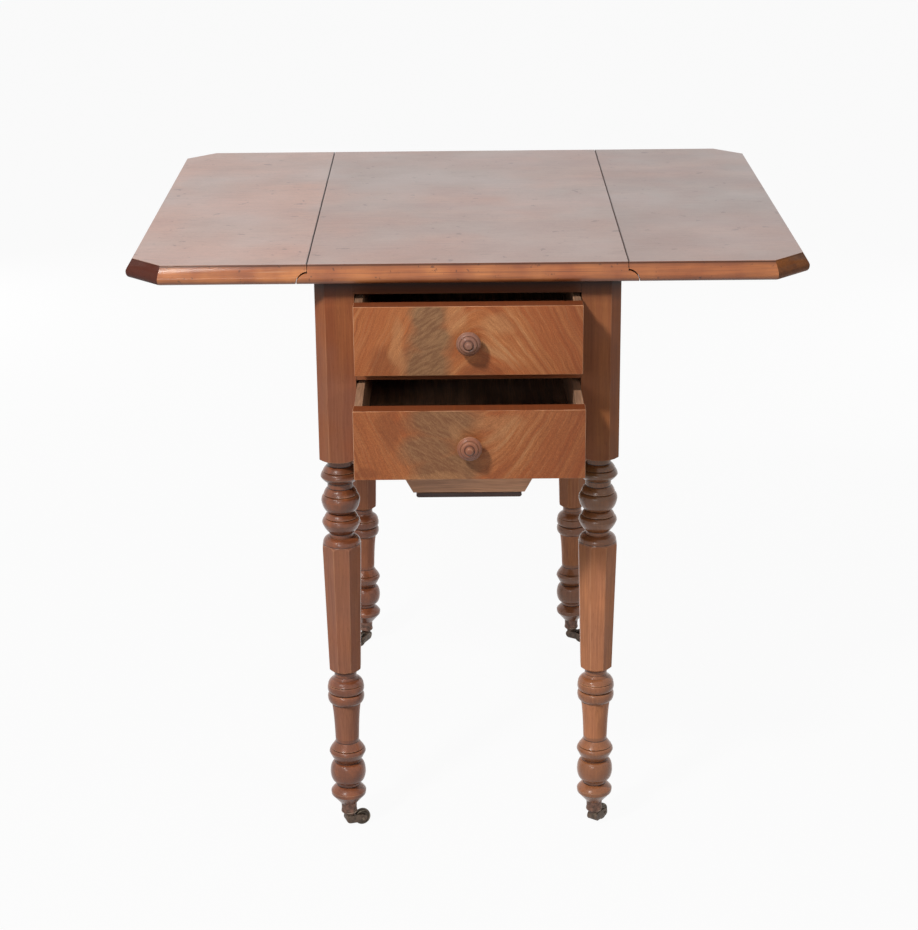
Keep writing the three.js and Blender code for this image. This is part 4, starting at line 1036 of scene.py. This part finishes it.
@known
def satin_top(tree, axis):
    """French-polished mahogany that has bloomed: a greyish satin film, mottled over the red-brown wood.
    Painted sheen leaves it greyer towards the back, and painted shade makes it darker from the left leaf to
    the right
    """
    place, tone = add(tree, "place"), add(tree, "tone")
    strayed = wander(tree, place, 140 * MM, 30 * MM)
    broad = streaks(tree, strayed, axis, 40 * MM, 240 * MM, 4, 0.34, 0.66)
    fine = streaks(tree, strayed, axis, 2.4 * MM, 80 * MM, 4)
    haze = patches(tree, wander(tree, place, 70 * MM, 60 * MM), 140 * MM, 0.38, 0.62, 4)
    stains = patches(tree, wander(tree, place, 50 * MM, 45 * MM), 75 * MM, 0.54, 0.74, 5)
    scratches = streaks(tree, wander(tree, place, 60 * MM, 20 * MM), "X", 1.6 * MM, 40 * MM, 1, 0.67, 0.71)
    scuffs = patches(tree, wander(tree, place, 12 * MM, 9 * MM), 15 * MM, 0.68, 0.71)
    ground = patches(tree, place, 3 * MM, 0.35, 0.65)
    across = add(tree, "parts", wander(tree, place, 30 * MM, 0.8 * MM))["X"]
    leaves = (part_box("leaf_left")[1].x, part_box("leaf_right")[0].x)
    seams = add(tree, "larger", *(stripe(tree, across, edge, SEAM_REACH) for edge in leaves))
    # Painted sheen: the front of the top is painted warmer than its middle, which leaves the back greyer
    inward = add(tree, "range", add(tree, "parts", place)["Y"], TABLE_FRONT, TABLE_MIDDLE)
    body = coats(
        tree,
        "top_body",
        (broad, 0, 1, "top_warm"),
        (haze, 0.15, 0.85, "top_haze"),
        (inward, 0.35, 0.05, "top_warm"),
        # Painted shade: with its tone the top turns from warmer on the left leaf to darker on the right, as
        # the light falls off
        (tone, 0.25, 0, "top_warm"),
        (tone, 0, 0.4, "mahogany_dark"),
        (stains, 0, 0.45, "mahogany_grey"),
        (fine, 0.2, 0, "mahogany_dark"),
        (ground, 0.14, 0, "mahogany_dark"),
        (scratches, 0, 0.6, "mahogany_dark"),
        (scuffs, 0, 0.75, "mahogany_dark"),
        (add(tree, "range", seams, 0.2, 0.5), 0, 1, "grime"),
    )
    body = weathered(tree, body, place, 0.3, 0.9)
    coat = add(tree, "share", seams, 0.9, 0)
    surfaced(tree, place, body, haze, 0.06 * MM, (0.38, 0.52), 120 * MM, 0.35, coat, 0.36)


@known
def polished_edge(tree):
    """The moulded edge, french polished and handled: glossy orange-brown, flecked with old knocks, with a
    dark line under the arris of the top. Painted shade darkens its upper and lower parts"""
    place, tone = add(tree, "place"), add(tree, "tone")
    grain = streaks(tree, place, "X", 1.8 * MM, 45 * MM, 4)
    flecks = patches(tree, place, 5 * MM, 0.66, 0.72)
    height = add(tree, "parts", place)["Z"]
    # A dark line just under the arris of the top, which also loses its coat
    line = stripe(tree, height, LINE_HEIGHT, LINE_REACH)
    body = coats(
        tree,
        "edge_bright",
        (patches(tree, place, 45 * MM, 0.35, 0.65), 0, 1, "edge_deep"),
        (tone, 0, 0.5, "edge_deep"),
        (grain, 0.3, 0, "mahogany_dark"),
        # Painted shade: the edge is darkened towards its bottom and towards its top
        (add(tree, "range", height, UNDERSIDE + EDGE_SHADE, UNDERSIDE), 0, 0.7, "mahogany_dark"),
        (add(tree, "range", height, TABLE_TOP - EDGE_SHADE, TABLE_TOP), 0, 0.6, "mahogany_dark"),
        (line, 0, 0.85, "grime"),
        (flecks, 0, 0.6, "grime"),
    )
    body = weathered(tree, body, place, 0.3, 0.9)
    coat = add(tree, "share", line, 0.8, 0)
    surfaced(tree, place, body, grain, 0.03 * MM, (0.44, 0.56), shine=0.35, coat=coat, coat_rough=0.22)


@known
def stained_end_grain(tree):
    """Edges cut across the grain, which took more stain: dark red on the left leaf, golden on the right"""
    place, tone = add(tree, "place"), add(tree, "tone")
    pores = patches(tree, place, 2.2 * MM)
    clouds = patches(tree, place, 12 * MM, 0.35, 0.65)
    layers = [(tone, 0, 1, "cut_corner_pale"), (clouds, 0, 0.4, "mahogany_dark"), (pores, 0, 0.2, "grime")]
    body = weathered(tree, coats(tree, "cut_corner", *layers), place, 0.2, 0.9)
    surfaced(tree, place, body, pores, 0.03 * MM, (0.42, 0.55), shine=0.1, coat=0.08, coat_rough=0.3)


SPINE_SHIFT = 10 * MM
SPINE_SOFTNESS = 16 * MM
FEATHER_SLOPE = 0.9
FEATHER_BEND = 90 * MM
STROKE_TURN = math.radians(30)
# Patches, as (place along the half width, place up the half height, reach along, reach up)
FLAME_PATCHES = {
    "top": {
        "olive": ((-0.34, 0.75, 0.16, 0.7), (-0.33, 0, 0.19, 0.6), (-0.38, -0.75, 0.21, 0.7)),
        "gold": ((-0.1, 0.7, 0.1, 0.5), (0.25, 0.45, 0.14, 0.3), (-0.62, -0.2, 0.07, 0.8)),
        "red": ((-0.75, -0.75, 0.13, 0.6), (0.1, -0.9, 0.2, 0.3)),
    },
    "bottom": {
        "olive": ((-0.24, 0.7, 0.33, 0.6), (-0.36, -0.1, 0.24, 0.5), (-0.2, -0.7, 0.3, 0.5)),
        "gold": ((0.24, 0.65, 0.22, 0.3), (-0.35, -0.95, 0.3, 0.15), (-0.1, 0.3, 0.08, 0.3)),
        "red": ((-0.9, -0.85, 0.12, 0.2), (-0.7, 0.5, 0.1, 0.6)),
    },
}


@known
def flame_veneer(tree, drawer):
    """Crotch mahogany veneer: feathers that sweep from a spine, with an olive patch and golden ones. The two
    fronts were cut from one flitch and opened like a book, so the lower one is the upper one mirrored"""
    place = add(tree, "place")
    low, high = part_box(f"{drawer}_drawer_front")
    half = (high - low) / 2
    middle = low + half
    upright = 1 if drawer == "top" else -1
    strayed = wander(tree, wander(tree, place, 60 * MM, 11 * MM), 16 * MM, 3 * MM)
    offset = add(tree, "point minus", strayed, Vector((middle.x + SPINE_SHIFT, 0, middle.z)))
    parts = add(tree, "parts", offset)
    square = add(tree, "times plus", parts["X"], parts["X"], SPINE_SOFTNESS**2)
    away = add(tree, "power", square, 0.5)
    slope = add(tree, "times plus", away, 0.5 / FEATHER_BEND, FEATHER_SLOPE)
    feather = add(tree, "times plus", away, slope, add(tree, "times", parts["Z"], upright))
    sweep = add(tree, "point", feather, 0, parts["X"])
    bands = streaks(tree, sweep, "Z", 26 * MM, 120 * MM, 3, 0.35, 0.65)
    arcs = streaks(tree, sweep, "Z", 9 * MM, 60 * MM, 4, 0.3, 0.7)
    lines = streaks(tree, sweep, "Z", 3 * MM, 40 * MM)
    # Real pores are 0.2 mm wide, and are drawn five times as coarse to show
    pores = streaks(tree, sweep, "Z", 1 * MM, 7 * MM, 2, 0.5, 0.68)
    leaning = add(tree, "turned", strayed, (0, upright * STROKE_TURN, 0))
    strokes = streaks(tree, leaning, "X", 2.4 * MM, 16 * MM, 3, 0.4, 0.6)
    torn = wander(tree, place, 26 * MM, 20 * MM)
    shares = {}
    for kind, spots in FLAME_PATCHES[drawer].items():
        shares[kind] = 0
        for along, up, reach, rise in spots:
            spot = middle + Vector((along * half.x, 0, up * half.z))
            patch = blotch(tree, torn, spot, (reach * half.x, 1, rise * half.z), 0.65)
            shares[kind] = add(tree, "larger", shares[kind], patch)
    swirl = blotch(tree, torn, middle + Vector((0.3 * half.x, 0, 0)), (0.3 * half.x, 1, 0.8 * half.z))
    body = coats(
        tree,
        "flame_red",
        (bands, 0.1, 0.8, "flame_gold"),
        (add(tree, "range", arcs, 0.55, 1), 0, 0.34, "flame_pale"),
        (add(tree, "range", arcs, 0.45, 0), 0, 0.4, "flame_deep"),
        (add(tree, "range", parts["X"], 0.3 * half.x, 0.9 * half.x), 0, 0.4, "flame_deep"),
        (swirl, 0, add(tree, "range", arcs, 0.3, 0.8, 0, 0.5), "flame_pale"),
        (shares["red"], 0, 0.5, "flame_deep"),
        (shares["olive"], 0, 0.75, "flame_olive"),
        (shares["olive"], 0, add(tree, "share", strokes, 0.4, 0), "mahogany_dark"),
        (shares["gold"], 0, 0.4, "flame_pale"),
        (1, 0, 0 if drawer == "top" else 0.25, "flame_deep"),
        (lines, 0.16, 0, "mahogany_dark"),
        (pores, 0.28, 0, "mahogany_dark"),
        (patches(tree, place, 1.2 * MM, 0.36, 0.64), 0, 0.3, "mahogany_dark"),
    )
    facing = add(tree, "parts", add(tree, "facing"))["Y"]
    solid = coats(tree, "front_solid", (pores, 0.5, 0.1, "mahogany_dark"))
    body = coats(tree, body, (add(tree, "range", facing, -0.8, -0.3), 0, 1, solid))
    body = weathered(tree, body, place, 0.8, 0.5)
    surfaced(tree, place, body, pores, 0.03 * MM, (0.4, 0.52), shine=0.2, coat=0.12, coat_rough=0.3)


@known
def turned_knob(tree):
    """A mahogany knob, polished by hands, its rings a little darker between the beads"""
    place = add(tree, "place")
    grain = streaks(tree, place, "Y", 2 * MM, 30 * MM, 4)
    layers = [(add(tree, "tone"), 0, 1, "mahogany_red"), (grain, 0.3, 0.1, "mahogany_dark")]
    body = weathered(tree, coats(tree, "mahogany_grey", *layers), place, 0.3, 0.6)
    surfaced(tree, place, body, grain, 0.03 * MM, (0.3, 0.45), shine=0.35, coat=0.4, coat_rough=0.22)


@known
def drawer_lining(tree, axis):
    """Plain mahogany lining, planed and never polished: dry, dusty, with open grain"""
    place = add(tree, "place")
    strayed = wander(tree, place, 90 * MM, 8 * MM)
    fine = streaks(tree, strayed, axis, 1.5 * MM, 40 * MM, 4)
    broad = streaks(tree, strayed, axis, 12 * MM, 220 * MM)
    body = coats(tree, "lining", (broad, 0, 0.5, "wool_box"), (fine, 0.55, 0.2, "lining_dark"))
    surfaced(tree, place, weathered(tree, body, place, 0.4, 0.6), fine, 0.08 * MM, (0.6, 0.75))


@known
def wool_box_board(tree, axis):
    """Thin mahogany boards with a dulled, pinkish polish. Their colour is painted paler, as painted light on
    the box
    """
    place = add(tree, "place")
    strayed = wander(tree, place, 80 * MM, 10 * MM)
    fine = streaks(tree, strayed, axis, 1.6 * MM, 50 * MM, 4)
    broad = streaks(tree, strayed, axis, 14 * MM, 200 * MM)
    body = coats(tree, "wool_box", (broad, 0, 0.35, "mahogany_red"), (fine, 0.3, 0, "mahogany_dark"))
    surfaced(tree, place, weathered(tree, body, place, 0.4, 0.6), fine, 0.04 * MM, (0.42, 0.58))


@known
def ebonised(tree, axis):
    """Blackened wood, rubbed brown on its arrises"""
    place = add(tree, "place")
    fine = streaks(tree, place, axis, 1.5 * MM, 40 * MM, 4)
    body = weathered(tree, coats(tree, "ebony", (fine, 0, 0.5, "mahogany_dark")), place, 0.25, 0.5)
    surfaced(tree, place, body, fine, 0.04 * MM, (0.4, 0.55))


@known
def tarnished_brass(tree):
    """Cast brass, tarnished brown, bare where it rubs and nearly black in its corners"""
    place = add(tree, "place")
    blotches = patches(tree, place, 6 * MM, 0.35, 0.6)
    rubbing = patches(tree, place, 8 * MM, 0.5, 0.6)
    bare = add(tree, "times", add(tree, "range", add(tree, "relief"), 0.35, 1), rubbing)
    layers = [(add(tree, "tone"), 0, 1, "brass_cup"), (blotches, 0.75, 0, "brass_dark")]
    layers.append((bare, 0, 0.7, "brass_worn"))
    surfaced(tree, place, coats(tree, "brass", *layers), blotches, 0.05 * MM, (0.42, 0.6), 8 * MM, metal=0.5)


@known
def rusted_iron(tree):
    """Wrought iron plate, dark, with spots of rust"""
    place = add(tree, "place")
    spots = patches(tree, place, 7 * MM, 0.5, 0.6)
    body = coats(tree, "iron", (spots, 0, 1, "rust"))
    surfaced(tree, place, body, spots, 0.06 * MM, (0.5, 0.7), 9 * MM, metal=0.6)


@known
def studio_floor(tree):
    """A white sweep that keeps a faint shadow"""
    path = add(tree, "light path")
    seen = add(tree, "larger", path["Is Camera Ray"], path["Is Glossy Ray"])
    lit = add(tree, "times", seen, FLOOR_WHITE_SHARE)
    paper = add(tree, "matt", colours().floor)
    add(tree, "surface", add(tree, "either surface", lit, paper, add(tree, "glow", (1, 1, 1, 1), 1)))


# Stage

FLOOR_WHITE_SHARE = 0.95
FLOOR_SIZE = 14
CAMERA_PLACE = Vector((-11.07, -2691.8, 1345.05)) * MM
CAMERA_PITCH = 0.338444274
CAMERA_YAW = -0.000339499564
CAMERA_ROLL = -0.00920142635
FOCAL_PIXELS = 2218.95
PHOTO_HEIGHT_PIXELS = 930
SENSOR = 36
CLIP_END = 100
WORLD_STRENGTH = 0.18
WHITE = (1, 1, 1)
KEY_TINT = (1, 0.98, 0.95)
KEY_AIM = ((-1.41, -2.13, 2.92), (0, -0.3, 0.6))
BACK_TARGET = (0, 0, 0.35)
# Name, place, target, watts, size, tint, and whether the polish mirrors it. The key is two lamps in one
# place, of which only the weaker is mirrored. From behind, the top would show the right lamp as a glare
LAMPS = (
    ("key_lamp", *KEY_AIM, 96, 0.34, KEY_TINT, False),
    ("glint_lamp", *KEY_AIM, 26, 0.34, KEY_TINT, True),
    ("front_lamp", (-0.9, -3.2, 1.45), (0, -0.2, 0.5), 12, 0.6, WHITE, True),
    ("right_lamp", (1.9, -2.6, 1.6), (0, 0, 0.4), 15, 0.4, (1, 0.92, 0.82), False),
    ("back_left_lamp", (-1.6, 2.4, 0.6), BACK_TARGET, 32, 0.6, WHITE, False),
    ("back_right_lamp", (1.8, 2.1, 0.6), BACK_TARGET, 32, 0.6, WHITE, False),
)


def aimed(name, place, target, energy, size, tint, glossy):
    """An area lamp that looks at a point"""
    lamp = bpy.data.lights.new(name, "AREA")
    lamp.energy = energy
    lamp.size = size
    lamp.color = tint
    holder = placed(name, lamp)
    holder.location = place
    holder.rotation_euler = (Vector(target) - Vector(place)).to_track_quat("-Z", "Y").to_euler()
    holder.visible_glossy = glossy


def camera():
    ahead = math.cos(CAMERA_PITCH)
    forward = Vector((math.sin(CAMERA_YAW) * ahead, math.cos(CAMERA_YAW) * ahead, -math.sin(CAMERA_PITCH)))
    level = Vector((math.cos(CAMERA_YAW), -math.sin(CAMERA_YAW), 0))
    upward = level.cross(forward)
    right = math.cos(CAMERA_ROLL) * level + math.sin(CAMERA_ROLL) * upward
    up = math.cos(CAMERA_ROLL) * upward - math.sin(CAMERA_ROLL) * level
    data = bpy.data.cameras.new("camera")
    data.sensor_width = SENSOR
    data.lens = FOCAL_PIXELS * SENSOR / PHOTO_HEIGHT_PIXELS
    data.clip_end = CLIP_END
    holder = placed("camera", data)
    turn = Matrix((right, up, -forward)).transposed().to_4x4()
    holder.matrix_world = Matrix.Translation(CAMERA_PLACE) @ turn
    bpy.context.scene.camera = holder


def world():
    bpy.context.scene.world = bpy.data.worlds.new("studio")
    tree = emptied(bpy.context.scene.world)
    path = add(tree, "light path")
    seen = add(tree, "larger", path["Is Camera Ray"], path["Is Glossy Ray"])
    seen = add(tree, "larger", seen, path["Is Transmission Ray"])
    strength = add(tree, "range", seen, 0, 1, WORLD_STRENGTH, 1)
    add(tree, "world", add(tree, "surroundings", (1, 1, 1, 1), strength))


def floor():
    work = bmesh.new()
    bmesh.ops.create_grid(work, x_segments=1, y_segments=1, size=FLOOR_SIZE)
    placed("studio_floor", mesh_of("studio_floor", work, [studio_floor()]))


# Operators


def longest_axis(node):
    low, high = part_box(node)
    reach = high - low
    return "XYZ"[max(range(3), key=lambda i: reach[i])]


def board(node, slot, finish, tone=0.5):
    """A finished board in place of a CAD node, its grain along its longest side"""
    dressed(node, planed(node, sizes().arris), [finish(longest_axis(node))], tone)


def top_finish(face):
    """Which finish a face of the top has: bloomed, moulded edge, stained end grain or bare underside"""
    if face.normal.z < -BOARD_FACE:
        return 3
    if abs(face.normal.x) > END_GRAIN:
        return 2
    return 1 if face.calc_center_median().z < TABLE_TOP - SKIN else 0


class TABLE_OT_top(Operator):
    """Makes the centre top and the two leaves, with their thumb moulding and rule joints"""

    bl_idname = "work_table.top"
    bl_label = "Top and leaves"

    def execute(self, context):
        finishes = [satin_top("X"), polished_edge(), stained_end_grain(), drawer_lining("X")]
        dressed("top_centre", centre_top(), finishes, 0.6, finish_of=top_finish)
        # The tone also paints the right leaf of the top darker, as painted shade
        for side, tone in (("left", 0), ("right", 1)):
            dressed(f"leaf_{side}", leaf(side), finishes, tone, finish_of=top_finish)
        return {"FINISHED"}


class TABLE_OT_legs(Operator):
    """Turns the four legs"""

    bl_idname = "work_table.legs"
    bl_label = "Legs"

    def execute(self, context):
        tones = {"left": 0.15, "right": 0.75}
        for end, side in CORNERS:
            dressed(f"leg_{end}_{side}", leg(end, side), [polished_mahogany("Z")], tones[side])
        return {"FINISHED"}


class TABLE_OT_carcass(Operator):
    """Planes and polishes the rails, panels, fly brackets, runners and bearers"""

    bl_idname = "work_table.carcass"
    bl_label = "Carcass"

    def execute(self, context):
        for node in ("front_top_rail", "drawer_divider_rail", "front_bottom_rail", "back_panel"):
            board(node, "mahogany", polished_mahogany, 0.4)
        for side, tone in (("left", 0.2), ("right", 0.5)):
            board(f"side_panel_{side}", "mahogany", polished_mahogany, tone)
            board(f"fly_bracket_{side}", "mahogany", polished_mahogany, tone)
            for drawer in DRAWERS:
                board(f"{drawer}_drawer_runner_{side}", "lining", drawer_lining)
            board(f"wool_box_bearer_{side}", "lining", drawer_lining)
        return {"FINISHED"}


class TABLE_OT_drawers(Operator):
    """Makes both drawers with their veneered fronts and turned knobs"""

    bl_idname = "work_table.drawers"
    bl_label = "Drawers"

    def execute(self, context):
        for drawer in DRAWERS:
            front = f"{drawer}_drawer_front"
            dressed(front, planed(front, sizes().arris), [flame_veneer(drawer)])
            for part in ("side_left", "side_right", "back", "bottom"):
                board(f"{drawer}_drawer_{part}", "lining", drawer_lining)
            tone = 0.2 if drawer == "top" else 0.8
            dressed(f"{drawer}_drawer_knob", knob(drawer), [turned_knob()], tone, hard=False)
        return {"FINISHED"}


class TABLE_OT_wool_box(Operator):
    """Makes the sliding wool box"""

    bl_idname = "work_table.wool_box"
    bl_label = "Wool box"

    def execute(self, context):
        for part in ("front", "back", "side_left", "side_right"):
            board(f"wool_box_{part}", "wool_box", wool_box_board)
        board("wool_box_bottom", "ebonised_edge", ebonised)
        return {"FINISHED"}


class TABLE_OT_castors(Operator):
    """Makes the cups, horns and wheels of the castors"""

    bl_idname = "work_table.castors"
    bl_label = "Castors"

    def execute(self, context):
        makers = (("cup", castor_cup, 1), ("horn", castor_horn, 0.2), ("wheel", castor_wheel, 0))
        for end, side in CORNERS:
            for part, make, tone in makers:
                corner = f"{end}_{side}"
                work = make(corner)
                dressed(f"castor_{part}_{corner}", work, [tarnished_brass()], tone, hard=False)
        return {"FINISHED"}


class TABLE_OT_hinges(Operator):
    """Finishes the plates of the rule joint hinges"""

    bl_idname = "work_table.hinges"
    bl_label = "Hinges"

    def execute(self, context):
        for end, side in CORNERS:
            for plate in ("top", "leaf"):
                node = f"hinge_{plate}_plate_{end}_{side}"
                dressed(node, planed(node, sizes().arris * PLATE_ARRIS_SHARE), [rusted_iron()])
        tree, sockets = screw_tree()
        screws("table", [f"hinge_top_plate_{end}_{side}" for end, side in CORNERS], tree, sockets)
        for side in SIDES:
            screws(f"leaf_{side}", [f"hinge_leaf_plate_{end}_{side}" for end in ENDS], tree, sockets)
        return {"FINISHED"}


class TABLE_OT_stage(Operator):
    """Sets up the white floor, the lamps, the surroundings and the camera"""

    bl_idname = "work_table.stage"
    bl_label = "Stage"

    def execute(self, context):
        camera()
        world()
        floor()
        for lamp in LAMPS:
            aimed(*lamp)
        context.scene.view_settings.view_transform = "Standard"
        return {"FINISHED"}


OPERATORS = (
    TABLE_OT_top,
    TABLE_OT_legs,
    TABLE_OT_carcass,
    TABLE_OT_drawers,
    TABLE_OT_wool_box,
    TABLE_OT_castors,
    TABLE_OT_hinges,
    TABLE_OT_stage,
)


class TABLE_PT_panel(Panel):
    """Lists the sizes, the colours and what makes each part of the table"""

    bl_idname = "TABLE_PT_panel"
    bl_label = "Work table"
    bl_space_type = "VIEW_3D"
    bl_region_type = "UI"
    bl_category = "Work table"

    def draw(self, context):
        for group in (context.scene.table_sizes, context.scene.table_colours):
            column = self.layout.column()
            for name in group.__annotations__:
                column.prop(group, name)
        for operator in OPERATORS:
            self.layout.operator(operator.bl_idname)


CLASSES = (TableSizes, TableColours, *OPERATORS, TABLE_PT_panel)


def register():
    for each in CLASSES:
        bpy.utils.register_class(each)
    bpy.types.Scene.table_sizes = PointerProperty(type=TableSizes)
    bpy.types.Scene.table_colours = PointerProperty(type=TableColours)


def unregister():
    del bpy.types.Scene.table_colours
    del bpy.types.Scene.table_sizes
    for each in reversed(CLASSES):
        bpy.utils.unregister_class(each)


def main():
    register()
    bpy.ops.work_table.top()
    bpy.ops.work_table.legs()
    bpy.ops.work_table.carcass()
    bpy.ops.work_table.drawers()
    bpy.ops.work_table.wool_box()
    bpy.ops.work_table.castors()
    bpy.ops.work_table.hinges()
    bpy.ops.work_table.stage()


if __name__ == "__main__":
    main()
